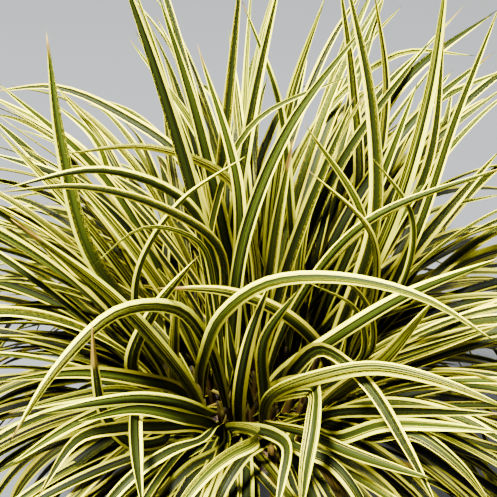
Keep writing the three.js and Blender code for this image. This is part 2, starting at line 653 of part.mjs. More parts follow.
// How many of the leading blades' points a drawn blade would stand in front of.
function countHidden(blade, squares) {
  const hidden = new Set();
  for (const [x, y, nearer] of shownPoints(blade, 5)) {
    for (const [across, down] of NEIGHBOURS) {
      const beside = squares.get(squareOf(x + across * HIDING_RADIUS, y + down * HIDING_RADIUS)) ?? [];
      for (const point of beside) {
        if (nearer < point[2] && Math.hypot(point[0] - x, point[1] - y) < HIDING_RADIUS) hidden.add(point);
      }
    }
  }
  return hidden.size;
}

// Boxes round the stretches of a blade, which show at once which blades come near each other.
function stretchBoxes(spine) {
  return spine.slice(1).map((point, i) => {
    return new THREE.Box3().setFromPoints([spine[i], point]).expandByScalar(BLADE.width * 0.6);
  });
}

// The part of a blade beyond the sheath's mouth, where it has to be clear of its own shoot's blades too.
function upperPart(blade) {
  const place = bladeGeometry(blade).attributes.position;
  const points = [];
  for (let i = 0; i < place.count; i++) points.push(new THREE.Vector3().fromBufferAttribute(place, i));
  const tip = points.pop();
  const rings = [];
  for (let i = 3; i < points.length; i += 3) rings.push(points.slice(i, i + 3));
  return toSolid(loft(rings, tip));
}

const near = (boxes, others) => boxes.some((box) => others.some((other) => box.intersectsBox(other)));

// Adds the first of the candidate blades that is clear of everything that already stands.
// A candidate is { shoot, blade }. Returns whether one was clear.
function grow(candidates, shoots, obstacles) {
  for (const { shoot, blade } of candidates) {
    const boxes = stretchBoxes(blade.spine);
    const whole = toSolid(bladeGeometry(blade));
    const upper = upperPart(blade);
    const touches = (mine, theirs) => mine.minGap(theirs, 2 * BLADE.clearance) < BLADE.clearance;
    const blocked =
      obstacles.some((obstacle) => touches(whole, obstacle)) ||
      shoots.some((other) => {
        if (other === shoot) {
          return other.blades.some((b) => near(boxes, b.boxes) && (touches(upper, b.upper)));
        }
        const sheathInReach = boxes.some((box) => box.intersectsBox(other.sheathBox));
        return (
          (sheathInReach && touches(whole, other.sheath)) ||
          other.blades.some((b) => near(boxes, b.boxes) && touches(whole, b.whole))
        );
      });
    if (blocked) continue;
    const joined = largestBody(wasm.Manifold.union(shoot.solid, whole));
    if (!isSound(joined)) continue;
    shoot.solid = joined;
    shoot.blades.push({ spine: blade.spine, boxes, whole, upper });
    return true;
  }
  return false;
}

function growPlant() {
  const random = seededRandom(SEED);
  const shoots = layOutShoots();
  for (const shoot of shoots) {
    shoot.sheath = toSolid(sheathGeometry(shoot));
    shoot.solid = shoot.sheath;
    shoot.sheathBox = new THREE.Box3().setFromBufferAttribute(sheathGeometry(shoot).attributes.position);
  }
  const obstacles = [potSolid(), compostSolid(shoots)];
  const left = [];
  for (const leading of leadingBlades) {
    const [x, reach] = leading.root;
    const awayness = ({ foot, blades }) => Math.hypot(foot.x - x, foot.y + reach) + 4 * blades.length;
    const nearest = [...shoots].sort((a, b) => awayness(a) - awayness(b));
    const candidates = function* () {
      for (const shift of REACH_SHIFTS) {
        for (const shoot of nearest.slice(0, 8)) yield { shoot, blade: leadingBlade(shoot, leading, shift) };
      }
    };
    if (!grow(candidates(), shoots, obstacles)) left.push(leading);
  }
  const leadingPoints = shoots.flatMap(({ blades }) => blades.flatMap((blade) => shownPoints(blade, 4)));
  const squares = sortPoints(leadingPoints);
  for (let rank = 0; rank < BLADES_PER_SHOOT; rank++) {
    for (const shoot of shoots) {
      if (shoot.blades.length >= BLADES_PER_SHOOT) continue;
      const candidates = function* () {
        for (let draw = 0; draw < DRAWS_PER_BLADE; draw++) {
          const blade = drawnBlade(shoot, rank, random);
          const bare = shoot.blades.length < FEWEST_BLADES && draw > DRAWS_PER_BLADE / 2;
          const allowed = bare ? 3 * MOST_HIDDEN : (MOST_HIDDEN * draw) / DRAWS_PER_BLADE;
          if (keepsOut(blade) && countHidden(blade, squares) <= allowed) yield { shoot, blade };
        }
      };
      grow(candidates(), shoots, obstacles);
    }
  }
  for (let rank = 0; rank < LOW.blades; rank++) {
    for (const shoot of shoots.filter(({ share }) => share > LOW.share)) {
      const candidates = function* () {
        for (let draw = 0; draw < LOW.draws; draw++) {
          const blade = lowBlade(shoot, random);
          const allowed = (MOST_HIDDEN * draw) / LOW.draws;
          const fits = staysLow(blade) && keepsOut(blade);
          if (fits && countHidden(blade, squares) <= allowed) yield { shoot, blade };
        }
      };
      grow(candidates(), shoots, obstacles);
    }
  }
  return { shoots, left };
}

// ---- The part ----

function material(color, roughness) {
  return new THREE.MeshStandardMaterial({ color, roughness, metalness: 0 });
}

function named(name, solid, paint) {
  const mesh = new THREE.Mesh(toGeometry(solid), paint);
  mesh.name = name;
  return mesh;
}

const { shoots, left } = growPlant();
const sedge = new THREE.Group();
sedge.add(named("pot", largestBody(potSolid()), material(0x33363a, 0.6)));
sedge.add(named("compost", largestBody(compostSolid(shoots)), material(0x2b1d14, 0.95)));
for (const shoot of shoots) {
  sedge.add(named(shoot.name, shoot.solid, material(0xb4b64e, 0.45)));
}

export default sedge;
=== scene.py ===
"""The looks of a variegated carex sedge in a plain round pot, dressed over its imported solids.

Everything is in metres, in the frame of the solids: +Z is up and the plant's front faces -Y.
"""

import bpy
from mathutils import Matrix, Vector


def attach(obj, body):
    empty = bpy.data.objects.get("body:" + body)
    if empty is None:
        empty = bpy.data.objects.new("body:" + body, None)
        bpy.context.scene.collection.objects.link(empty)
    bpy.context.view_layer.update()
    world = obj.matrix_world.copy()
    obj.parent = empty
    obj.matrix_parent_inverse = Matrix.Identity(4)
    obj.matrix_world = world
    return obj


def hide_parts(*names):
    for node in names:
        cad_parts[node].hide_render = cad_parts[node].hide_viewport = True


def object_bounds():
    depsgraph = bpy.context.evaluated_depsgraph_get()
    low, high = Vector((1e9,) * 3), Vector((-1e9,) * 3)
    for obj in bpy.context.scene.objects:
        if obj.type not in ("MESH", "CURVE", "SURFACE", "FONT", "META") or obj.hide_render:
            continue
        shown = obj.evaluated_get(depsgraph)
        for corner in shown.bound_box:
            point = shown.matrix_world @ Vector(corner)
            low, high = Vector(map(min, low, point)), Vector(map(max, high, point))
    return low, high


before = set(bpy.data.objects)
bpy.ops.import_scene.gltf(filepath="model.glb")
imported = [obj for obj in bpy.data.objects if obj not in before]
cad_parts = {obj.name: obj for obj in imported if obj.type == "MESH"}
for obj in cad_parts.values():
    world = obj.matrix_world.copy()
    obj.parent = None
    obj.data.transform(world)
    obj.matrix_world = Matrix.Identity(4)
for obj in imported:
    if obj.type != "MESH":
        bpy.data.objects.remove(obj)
CAD_BOX = [list(corner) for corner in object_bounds()]

import logging
import math
from dataclasses import dataclass, field
from enum import Enum

import bmesh
import bpy
import numpy as np
from mathutils import Matrix, Vector
from mathutils.bvhtree import BVHTree

log = logging.getLogger("sedge")
Socket = bpy.types.NodeSocket
Three = tuple[Socket, Socket, Socket]

MM = 0.001
# The body that every piece rides on.
BODY = "root"
# The crown: the level of the compost, and the sunflower spiral on which the shoots stand, with its
# radius, its turn, how many shoots there are and how far the outermost ones lean out.
SOIL_LEVEL = 0.137
CROWN_RADIUS = 0.052
CROWN_TURN = 0.6
CROWN_SHOOTS = 40
CROWN_LEAN = math.radians(16)


class BladeKind(Enum):
    """How a blade grows, which decides its breadth, its stance and its colour."""

    GROWN = "grown"
    YOUNG = "young"
    LOW = "low"
    OLD = "old"


# ---- Front layout: the same grid of columns and rows that the leading blades are set out on ----


@dataclass(frozen=True)
class FrontLayout:
    """The eye in front of the plant and the grid that it sees.

    Attributes:
        crown: Column and row where the middle of the crown shows.
        square: Size of a grid square at the crown's middle.
        middle: Column and row of the middle of the grid.
        columns: How many columns and rows it has.
        distance: From the eye to the plane of the grid.
        tilt: Angle by which the eye looks down.
        counted: The share of a blade's breadth, on each side of its middle, that keeps out of the
            openings.
        openings: Places, as column, row and radius, where the view past the plant stays free.
    """

    crown: tuple[float, float] = (250, 405)
    square: float = 0.66 * MM
    middle: float = 248.5
    columns: int = 497
    distance: float = 0.75
    tilt: float = math.radians(30)
    counted: float = 0.4
    openings: tuple[tuple[float, float, float], ...] = (
        (92, 53, 40), (204, 38, 22), (132, 92, 21), (404, 32, 16), (288, 37, 14), (327, 38, 13),
        (462, 164, 12), (29, 28, 13), (29, 64, 13), (282, 56, 12), (425, 26, 11), (215, 66, 11),
        (475, 216, 10), (152, 113, 10), (476, 152, 10), (318, 55, 9), (303, 145, 9), (471, 40, 8),
        (301, 23, 8), (265, 100, 8), (71, 119, 8), (464, 227, 8), (269, 127, 7), (283, 73, 7),
        (478, 252, 7), (218, 81, 7), (47, 151, 7), (318, 123, 7), (23, 168, 7), (372, 38, 6),
        (23, 362, 6), (178, 22, 6), (39, 425, 6), (127, 137, 6), (77, 129, 6), (434, 209, 5),
        (205, 95, 5), (480, 202, 6), (469, 257, 5), (160, 125, 6), (481, 139, 6),
    )

    def forward(self) -> np.ndarray:
        """The direction in which the eye looks."""
        return np.array([0.0, math.cos(self.tilt), -math.sin(self.tilt)])

    def upward(self) -> np.ndarray:
        """The grid's upward direction."""
        return np.array([0.0, math.sin(self.tilt), math.cos(self.tilt)])

    def eye(self) -> np.ndarray:
        """Where the eye is.

        Returns:
            The place.
        """
        place = np.array([(self.middle - self.crown[0]) * self.square, 0.0, SOIL_LEVEL])
        place += self.upward() * (self.crown[1] - self.middle) * self.square
        return place - self.forward() * self.distance

    def shows_at(self, points: np.ndarray) -> np.ndarray:
        """Columns and rows where points show.

        Args:
            points: Points in the frame, one a row.

        Returns:
            Their columns and rows, one pair a row.
        """
        sight = points - self.eye()
        scale = self.distance / (sight @ self.forward()) / self.square
        columns = self.middle + sight[:, 0] * scale
        rows = self.middle - (sight @ self.upward()) * scale
        return np.stack([columns, rows], axis=1)

    def keeps_out(self, points: np.ndarray, breadth: float) -> bool:
        """Whether a blade stays out of every opening.

        Args:
            points: Points along its middle.
            breadth: How wide it is.

        Returns:
            Whether it leaves all the openings free.
        """
        seen = self.shows_at(points)
        half = self.counted * breadth / self.square
        return all(
            np.hypot(seen[:, 0] - column, seen[:, 1] - row).min() > radius + half
            for column, row, radius in self.openings
        )


LAYOUT = FrontLayout()

# Blades whose tips have dried up: column and row where the tip shows, and the share that is dry.
SCORCHED_TIPS = (
    (46, 32, 0.02),
    (15, 222, 0.1),
    (92, 322, 0.14),
    (197, 46, 0.07),
    (160, 283, 0.1),
    (55, 297, 0.1),
    (87, 425, 0.1),
    (236, 150, 0.1),
    (300, 140, 0.06),
)
# Blades that are broader than their solids: column and row where the tip shows, and how many times
# as broad.
BROAD_BLADES = (
    (143, 512, 1.75),
    (300, 520, 1.5),
    (46, 32, 1.35),
)
# How far from a marked place, in columns, a tip may show.
TIP_REACH = 14.0


def marked(
    tip: np.ndarray, marks: tuple[tuple[float, float, float], ...], otherwise: float
) -> float:
    """The number that goes with the blade whose tip shows at a marked place.

    Args:
        tip: The blade's tip.
        marks: Column, row and number of each marked place.
        otherwise: The number for any other blade.

    Returns:
        The number.
    """
    column, row = LAYOUT.shows_at(tip[None, :])[0]
    found = [number for x, y, number in marks if math.hypot(x - column, y - row) < TIP_REACH]
    return max(found, default=otherwise)


# ---- Node trees ----


class NodeBench:
    """A node tree under construction."""

    def __init__(self, tree: bpy.types.NodeTree) -> None:
        """Starts on an empty tree."""
        self.tree = tree
        tree.nodes.clear()

    def add(self, kind: str, inputs: dict | None = None, **settings: object) -> bpy.types.Node:
        """Adds a node.

        Args:
            kind: The node's type name.
            inputs: Socket name or index to a value, or to the socket that feeds it.
            **settings: Properties of the node.

        Returns:
            The new node.
        """
        node = self.tree.nodes.new(kind)
        for name, value in settings.items():
            setattr(node, name, value)
        for key, value in (inputs or {}).items():
            if isinstance(value, Socket):
                self.tree.links.new(value, node.inputs[key])
            else:
                node.inputs[key].default_value = value
        return node

    def math(self, operation: str, *values: object, clamp: bool = False) -> Socket:
        """An operation on numbers or sockets."""
        inputs = dict(enumerate(values))
        return self.add("ShaderNodeMath", inputs, operation=operation, use_clamp=clamp).outputs[0]

    def times(self, value: object, factor: object, clamp: bool = False) -> Socket:
        """A product."""
        return self.math("MULTIPLY", value, factor, clamp=clamp)

    def plus(self, value: object, more: object, clamp: bool = False) -> Socket:
        """A sum."""
        return self.math("ADD", value, more, clamp=clamp)

    def minus(self, value: object, less: object, clamp: bool = False) -> Socket:
        """A difference."""
        return self.math("SUBTRACT", value, less, clamp=clamp)

    def step(self, value: object, low: object, high: object) -> Socket:
        """A smooth step from 0 at low to 1 at high."""
        edges = {"Value": value, "From Min": low, "From Max": high}
        return self.add("ShaderNodeMapRange", edges, interpolation_type="SMOOTHSTEP").outputs[0]

    def spread(self, value: object, low: float, high: float) -> Socket:
        """A value from 0 to 1 spread evenly from low to high."""
        edges = {"Value": value, "To Min": low, "To Max": high}
        return self.add("ShaderNodeMapRange", edges).outputs[0]

    def blend(self, share: object, under: object, over: object, way: str = "MIX") -> Socket:
        """One colour laid over another."""
        inputs = {0: share, 6: under, 7: over}
        return self.add("ShaderNodeMix", inputs, data_type="RGBA", blend_type=way).outputs[2]

    def noise(
        self, place: object, scale: float, detail: float = 2.0, rough: float = 0.5
    ) -> Socket:
        """A noise from 0 to 1."""
        inputs = {"Vector": place, "Scale": scale, "Detail": detail, "Roughness": rough}
        return self.add("ShaderNodeTexNoise", inputs).outputs["Fac"]

    def vector(self, x: object = 0.0, y: object = 0.0, z: object = 0.0) -> Socket:
        """Three numbers or sockets as a vector."""
        return self.add("ShaderNodeCombineXYZ", {0: x, 1: y, 2: z}).outputs[0]

    def parts(self, vector: object) -> tuple[Socket, ...]:
        """The three numbers of a vector."""
        return tuple(self.add("ShaderNodeSeparateXYZ", {0: vector}).outputs)

    def read(self, label: str) -> tuple[Socket, ...]:
        """The three numbers of a mesh attribute."""
        return self.parts(self.add("ShaderNodeAttribute", attribute_name=label).outputs["Vector"])

    def surface(
        self, inputs: dict, height: object = None, strength: float = 0.0, depth: float = 0.0
    ) -> None:
        """Ends a material's tree.

        Args:
            inputs: The surface's inputs.
            height: The socket that says how high the bump stands, if there is one.
            strength: How strong the bump is.
            depth: How high it stands, in metres.
        """
        if height is not None:
            bump = {"Strength": strength, "Distance": depth, "Height": height}
            inputs = {**inputs, "Normal": self.add("ShaderNodeBump", bump).outputs[0]}
        shader = self.add("ShaderNodeBsdfPrincipled", inputs)
        self.add("ShaderNodeOutputMaterial", {"Surface": shader.outputs[0]})


def srgb(red: float, green: float, blue: float) -> tuple[float, float, float, float]:
    """A colour given in steps of 255, as the linear colour that a shader takes.

    Args:
        red: Its red, from 0 to 255.
        green: Its green.
        blue: Its blue.

    Returns:
        The linear colour.
    """

    def linear(value: float) -> float:
        """One of its parts."""
        share = value / 255
        return share / 12.92 if share <= 0.04045 else ((share + 0.055) / 1.055) ** 2.4

    return (linear(red), linear(green), linear(blue), 1.0)


def new_material(name: str) -> tuple[bpy.types.Material, NodeBench]:
    """An empty material.

    Args:
        name: Its name.

    Returns:
        The material, and the bench to build its nodes on.
    """
    material = bpy.data.materials.new(name)
    material.use_nodes = True
    return material, NodeBench(material.node_tree)


def shown(name: str, data: bpy.types.ID) -> bpy.types.Object:
    """Puts a mesh, a light or a camera into the scene.

    Args:
        name: The new object's name.
        data: What it shows.

    Returns:
        The object, at the origin.
    """
    thing = bpy.data.objects.new(name, data)
    bpy.context.scene.collection.objects.link(thing)
    return thing


def dress(thing: bpy.types.Object, material: bpy.types.Material, smooth: bool = True) -> None:
    """Gives an object its finish.

    Args:
        thing: The object.
        material: The only material that it gets.
        smooth: Whether its faces are shaded as one smooth skin.
    """
    thing.data.materials.clear()
    thing.data.materials.append(material)
    if smooth:
        thing.data.polygons.foreach_set("use_smooth", [True] * len(thing.data.polygons))


# ---- Finishes ----


@dataclass(frozen=True)
class LeafFinish:
    """Green blades with yellow margins, veins and dry tips, and painted shade deep in the clump.

    Attributes:
        green: The dark green beside the margins.
        fresh_and_highlight: The olive along a blade's middle: its own tone and a painted highlight.
        bloom: The paler streaks in that green.
        cream: The pale margins.
        yolk: The deeper yellow of some margins.
        lime: The yellow-green of the streaks in the margins.
        dusk: What the colour of the duller blades is multiplied by, in part.
        straw: Dry tips and old blades.
        bark: The brown of withered sheaths.
        husk: The olive at the upper end of a sheath.
        stain: What the stains on sheaths are multiplied by.
        painted_shade_tint: What the colour is multiplied by for the painted shade.
        depth: The share of that tint in the deepest painted shade.
        shade: Where, from 0 in the open to 1, the shade starts to show and where it is deepest.
        reach: How far the green reaches towards the edges, from 0 to 1, on the palest blade and on
            the greenest.
        offset: How far the green may lie off the middle.
        veins: How many veins lie side by side across a blade.
        gloss: The roughness of the smoothest and of the roughest places.
        specular: How much the surface mirrors.
        bump: How strong the bump of the veins is.
        relief: How high the veins stand.
    """

    green: tuple = srgb(7, 10, 2)
    fresh_and_highlight: tuple = srgb(50, 60, 9)
    bloom: tuple = srgb(84, 97, 22)
    cream: tuple = srgb(248, 246, 34)
    yolk: tuple = srgb(238, 222, 2)
    lime: tuple = srgb(132, 146, 8)
    dusk: tuple = srgb(120, 124, 60)
    straw: tuple = srgb(134, 112, 34)
    bark: tuple = srgb(84, 50, 26)
    husk: tuple = srgb(92, 84, 22)
    stain: tuple = srgb(64, 42, 24)
    painted_shade_tint: tuple = srgb(62, 54, 28)
    depth: float = 0.75
    shade: tuple[float, float] = (0.18, 0.92)
    reach: tuple[float, float] = (0.56, 0.85)
    offset: float = 0.24
    veins: float = 17.0
    gloss: tuple[float, float] = (0.5, 0.64)
    specular: float = 0.05
    bump: float = 0.35
    relief: float = 0.12 * MM

    def make(self) -> bpy.types.Material:
        """The finish as a material that reads the blades' own attributes.

        Returns:
            The material.
        """
        material, bench = new_material("leaf")
        across, share, along = bench.read("blade_place")
        seed, dry, sheath = bench.read("blade_nature")
        shade, scorch, _ = bench.read("blade_state")
        luck = self._luck(bench, seed)
        ground = bench.vector(bench.times(across, 9.0), bench.times(along, 5.0), luck[3])
        streaks = bench.noise(ground, 1.0, 3.0)
        colour = self._living(bench, (across, along, seed), streaks, luck)
        colour = self._age(bench, colour, (across, share, along), (dry, sheath, scorch), luck)
        # Painted shade: the colour darkens towards the tint where the canopy shades the blade.
        dim = bench.times(bench.step(shade, *self.shade), self.depth)
        colour = bench.blend(dim, colour, self.painted_shade_tint, "MULTIPLY")
        gloss = bench.plus(bench.spread(streaks, *self.gloss), bench.times(dry, 0.35))
        inputs = {"Base Color": colour, "Roughness": gloss, "Specular IOR Level": self.specular}
        bench.surface(inputs, self._veining(bench, across, streaks), self.bump, self.relief)
        return material

    @staticmethod
    def _luck(bench: NodeBench, seed: Socket) -> list[Socket]:
        """Draws that are the same all over one blade and differ from blade to blade.

        Args:
            bench: The bench to build on.
            seed: The blade's own number.

        Returns:
            Six sockets, each from 0 to 1.
        """
        draws = []
        for shift in (3.1, 47.7):
            inputs = {"W": bench.plus(seed, shift)}
            tossed = bench.add("ShaderNodeTexWhiteNoise", inputs, noise_dimensions="1D")
            draws += bench.parts(tossed.outputs["Color"])
        return draws

    def _living(
        self, bench: NodeBench, place: Three, streaks: Socket, luck: list[Socket]
    ) -> Socket:
        """The colour of a living blade.

        Args:
            bench: The bench to build on.
            place: Place across the blade, from 0 to 1, metres along it, and the blade's own number.
            streaks: A noise drawn out along the blade.
            luck: The blade's own draws.

        Returns:
            The colour.
        """
        inward, margin, thread = self._margin(bench, place, luck)
        # Paler olive towards the middle: partly its own tone, partly a painted highlight.
        fresh_and_highlight = bench.times(bench.step(inward, 0.25, 0.85), bench.spread(luck[3], 0.1, 1.0))
        green = bench.blend(fresh_and_highlight, self.green, self.fresh_and_highlight)
        green = bench.blend(bench.times(bench.step(streaks, 0.52, 0.7), 0.4), green, self.bloom)
        pale = bench.blend(bench.spread(luck[4], 0.0, 0.9), self.cream, self.yolk)
        pale = bench.blend(bench.times(bench.step(streaks, 0.56, 0.66), 0.35), pale, self.lime)
        green = bench.blend(bench.times(thread, 0.7), green, pale)
        colour = bench.blend(margin, green, pale)
        return bench.blend(bench.spread(luck[2], 0.0, 0.35), colour, self.dusk, "MULTIPLY")

    def _margin(self, bench: NodeBench, place: Three, luck: list[Socket]) -> Three:
        """Where the pale margin lies.

        Args:
            bench: The bench to build on.
            place: Place across the blade, from 0 to 1, metres along it, and the blade's own number.
            luck: The blade's own draws.

        Returns:
            How far inside the green a place lies, from 0 at the margin to 1 in the middle, the
            share of margin, and the share of the pale threads in the green of some blades.
        """
        across, along, seed = place
        centred = bench.minus(bench.times(across, 2.0), 1.0)
        drift = bench.noise(bench.vector(bench.times(along, 6.0), seed, 0.0), 1.0, 1.0)
        offset = bench.spread(luck[0], -self.offset, self.offset)
        offset = bench.plus(offset, bench.spread(drift, -0.09, 0.09))
        off_centre = bench.math("ABSOLUTE", bench.minus(centred, offset))
        reach = bench.spread(luck[1], *self.reach)
        margin = bench.step(bench.minus(off_centre, reach), -0.02, 0.02)
        inward = bench.minus(1.0, bench.math("DIVIDE", off_centre, reach), clamp=True)
        ground = bench.vector(bench.times(across, 26.0), bench.times(along, 3.0), seed)
        threads = bench.step(bench.noise(ground, 1.0, 0.0), 0.66, 0.7)
        return inward, margin, bench.times(threads, bench.step(luck[2], 0.5, 0.6))

    def _age(
        self, bench: NodeBench, colour: Socket, place: Three, nature: Three, luck: list[Socket]
    ) -> Socket:
        """Lays dry tips, flecks, withered blades and brown sheaths over the living colour.

        Args:
            bench: The bench to build on.
            colour: The living colour.
            place: Place across the blade, place along it from 0 at its foot to 1 at its tip, and
                metres along it.
            nature: How withered the whole blade is, 1 on a sheath, and the share of it that has
                dried up.
            luck: The blade's own draws.

        Returns:
            The weathered colour.
        """
        across, share, along = place
        dry, sheath, scorch = nature
        ground = bench.vector(bench.times(across, 3.0), bench.times(along, 60.0), luck[3])
        mottle = bench.noise(ground, 1.0, 4.0)
        withered = bench.blend(bench.step(mottle, 0.35, 0.75), self.straw, self.bark)
        start = bench.minus(bench.spread(luck[5], 0.93, 1.03), scorch)
        tip = bench.plus(share, bench.spread(mottle, -0.03, 0.03))
        tip = bench.step(tip, start, bench.plus(start, 0.03))
        fleck = bench.times(bench.step(mottle, 0.74, 0.8), bench.step(luck[0], 0.6, 0.7))
        ageing = bench.times(dry, bench.spread(mottle, 0.75, 1.1), clamp=True)
        worn = bench.math("MAXIMUM", bench.math("MAXIMUM", tip, bench.times(fleck, 0.7)), ageing)
        colour = bench.blend(worn, colour, withered)
        husk = bench.blend(bench.step(share, 0.2, 0.95), self.bark, self.husk)
        husk = bench.blend(bench.step(mottle, 0.4, 0.7), husk, self.stain, "MULTIPLY")
        return bench.blend(sheath, colour, husk)

    def _veining(self, bench: NodeBench, across: Socket, streaks: Socket) -> Socket:
        """The height of the veins, the groove along the middle and the streaks.

        Args:
            bench: The bench to build on.
            across: Place across the blade, from 0 to 1.
            streaks: A noise drawn out along the blade.

        Returns:
            The height.
        """
        ribs = bench.math("SINE", bench.times(across, self.veins * 2 * math.pi))
        groove = bench.step(bench.math("ABSOLUTE", bench.minus(across, 0.5)), 0.0, 0.07)
        height = bench.plus(bench.times(ribs, 0.25), groove)
        return bench.plus(height, bench.times(streaks, 0.6))


@dataclass(frozen=True)
class PotFinish:
    """Matte anthracite plastic with a fine grain, dusty low down and a little scuffed.

    Attributes:
        plastic: The clean plastic.
        dust: The dry dust on it.
        scuffed: The plastic where it is scuffed.
        roughness: How matte it is.
        dusty_to: The height up to which dust gathers.
        grain_scale: How fine the plastic's grain is.
        cloud_scale: How fine the clouds of dust are.
        splash_scale: How fine the dried splashes are.
        scratch_scale: How fine the scratches are, along each axis.
        bump: How strong the bump is.
        relief: How high the grain stands.
    """

    plastic: tuple = srgb(44, 46, 49)
    dust: tuple = srgb(120, 112, 100)
    scuffed: tuple = srgb(84, 86, 88)
    roughness: float = 0.52
    dusty_to: float = 50 * MM
    grain_scale: float = 2600.0
    cloud_scale: float = 38.0
    splash_scale: float = 260.0
    scratch_scale: tuple[float, float, float] = (40.0, 40.0, 900.0)
    bump: float = 0.25
    relief: float = 0.2 * MM

    def make(self) -> bpy.types.Material:
        """The finish as a material.

        Returns:
            The material.
        """
        material, bench = new_material("pot_plastic")
        spot = bench.add("ShaderNodeTexCoord").outputs["Object"]
        grain = bench.noise(spot, self.grain_scale, 2.0)
        cloud = bench.noise(spot, self.cloud_scale, 5.0, 0.62)
        splash = bench.noise(spot, self.splash_scale, 3.0)
        low = bench.minus(1.0, bench.step(bench.parts(spot)[2], 0.0, self.dusty_to))
        dusty = bench.times(bench.step(cloud, 0.42, 0.75), bench.plus(bench.times(low, 0.35), 0.12))
        dusty = bench.plus(dusty, bench.times(bench.step(splash, 0.68, 0.74), 0.25), clamp=True)
        stretched = {0: spot, "Scale": self.scratch_scale}
        drawn_out = bench.add("ShaderNodeMapping", stretched).outputs[0]
        scuff = bench.times(bench.step(bench.noise(drawn_out, 1.0, 3.0), 0.66, 0.72), 0.3)
        colour = bench.blend(dusty, self.plastic, self.dust)
        colour = bench.blend(scuff, colour, self.scuffed)
        matte = bench.spread(cloud, self.roughness - 0.08, self.roughness + 0.1)
        gloss = bench.plus(bench.times(dusty, 0.35), matte)
        height = bench.plus(bench.times(grain, 0.6), bench.times(scuff, -0.8))
        bench.surface({"Base Color": colour, "Roughness": gloss}, height, self.bump, self.relief)
        return material


@dataclass(frozen=True)
class EarthFinish:
    """Moist compost, or the crumbs, chips and fibres in it.

    Attributes:
        name: The material's name.
        dark: Its darkest colour.
        light: Its lightest colour.
        scale: How fine its mottling is.
        roughness: How matte it is.
        finer: How many times as fine the finer mottling is.
        bump: How strong the bump is.
        relief: How high the mottling stands.
    """

    name: str
    dark: tuple
    light: tuple
    scale: float
    roughness: float = 0.85
    finer: float = 7.0
    bump: float = 0.6
    relief: float = 0.6 * MM

    def make(self) -> bpy.types.Material:
        """The finish as a material.

        Returns:
            The material.
        """
        material, bench = new_material(self.name)
        spot = bench.add("ShaderNodeTexCoord").outputs["Object"]
        coarse = bench.noise(spot, self.scale, 6.0, 0.65)
        fine = bench.noise(spot, self.scale * self.finer, 3.0, 0.6)
        mottle = bench.plus(bench.times(coarse, 0.6), bench.times(fine, 0.4))
        colour = bench.blend(bench.step(mottle, 0.38, 0.64), self.dark, self.light)
        gloss = bench.spread(fine, self.roughness - 0.2, self.roughness + 0.1)
        bench.surface({"Base Color": colour, "Roughness": gloss}, mottle, self.bump, self.relief)
        return material


# ---- Blades ----


def unit(vectors: np.ndarray) -> np.ndarray:
    """Vectors scaled to a length of one."""
    return vectors / np.maximum(np.linalg.norm(vectors, axis=-1, keepdims=True), 1e-12)


def walked_to(line: np.ndarray) -> np.ndarray:
    """How far along a line each of its points lies."""
    return np.concatenate([[0.0], np.cumsum(np.linalg.norm(np.diff(line, axis=0), axis=1))])


@dataclass
class Course:
    """The line that a blade follows, from its foot to its tip, and which way its upper side faces.

    Attributes:
        points: Points along the line.
        normals: The direction of the upper side at each point.
        breadth: How wide the blade is at its widest.
        kind: How it grows.
        dryness: How withered it is, from 0 to 1.
        scorch: The share of its length, from the tip, that has dried up.
    """

    # How many steps lie between two points of the line while it is measured.
    STEPS = 16

    points: np.ndarray
    normals: np.ndarray
    breadth: float
    kind: BladeKind = BladeKind.GROWN
    dryness: float = 0.0
    scorch: float = 0.0

    def smooth(self, count: int) -> tuple[np.ndarray, np.ndarray, np.ndarray]:
        """A smooth line through the points.

        Args:
            count: How many evenly spaced points it gets.

        Returns:
            The points of the line, and at each of them the direction across the blade and the
            direction of its upper side.
        """
        knots = walked_to(self.points)
        spans = np.diff(knots)[:, None]
        slopes = np.diff(self.points, axis=0) / spans
        inner = (slopes[:-1] * spans[1:] + slopes[1:] * spans[:-1]) / (spans[:-1] + spans[1:])
        first = unit(2 * slopes[:1] - inner[:1]) if len(inner) else unit(slopes[:1])
        tangents = np.vstack([first, inner, slopes[-1:]])
        when = np.linspace(0, knots[-1], self.STEPS * len(spans) + 1)
        span = np.clip(np.searchsorted(knots, when, side="right") - 1, 0, len(spans) - 1)
        width = spans[span]
        t = ((when - knots[span])[:, None]) / width
        line = (
            (2 * t**3 - 3 * t**2 + 1) * self.points[span]
            + (t**3 - 2 * t**2 + t) * width * tangents[span]
            + (3 * t**2 - 2 * t**3) * self.points[span + 1]
            + (t**3 - t**2) * width * tangents[span + 1]
        )
        walked = walked_to(line)
        even = np.linspace(0, walked[-1], count)
        at = np.interp(even, walked, when)
        points = np.stack([np.interp(even, walked, line[:, k]) for k in range(3)], axis=1)
        normals = np.stack([np.interp(at, knots, self.normals[:, k]) for k in range(3)], axis=1)
        ahead = unit(np.gradient(points, axis=0))
        side = unit(np.cross(ahead, normals))
        return points, side, np.cross(side, ahead)

    def length(self) -> float:
        """The length of the line, measured from point to point."""
        return float(np.linalg.norm(np.diff(self.points, axis=0), axis=1).sum())


# How long a blade keeps its breadth: the solids' blades taper sooner than the leaves.
SOLID_TAPER = 2.1
LEAF_TAPER = 3.0
# A blade's breadth at its foot, where it is broadest and where it starts to taper, as shares.
FOOT_BREADTH = 0.45
BROADEST_AT = 0.4
TAPERS_FROM = 0.35


def breadth_share(share: np.ndarray, taper: float = LEAF_TAPER) -> np.ndarray:
    """How wide a blade is along its length, as a share of its widest part.

    Args:
        share: Places along the blade, from 0 at its foot to 1 at its tip.
        taper: How long it keeps its breadth.

    Returns:
        The share at each place.
    """
    rise = np.sin(np.minimum(share / BROADEST_AT, 1) * (math.pi / 2))
    base = FOOT_BREADTH + (1 - FOOT_BREADTH) * rise
    return base * (1 - (np.maximum(share - TAPERS_FROM, 0) / (1 - TAPERS_FROM)) ** taper)


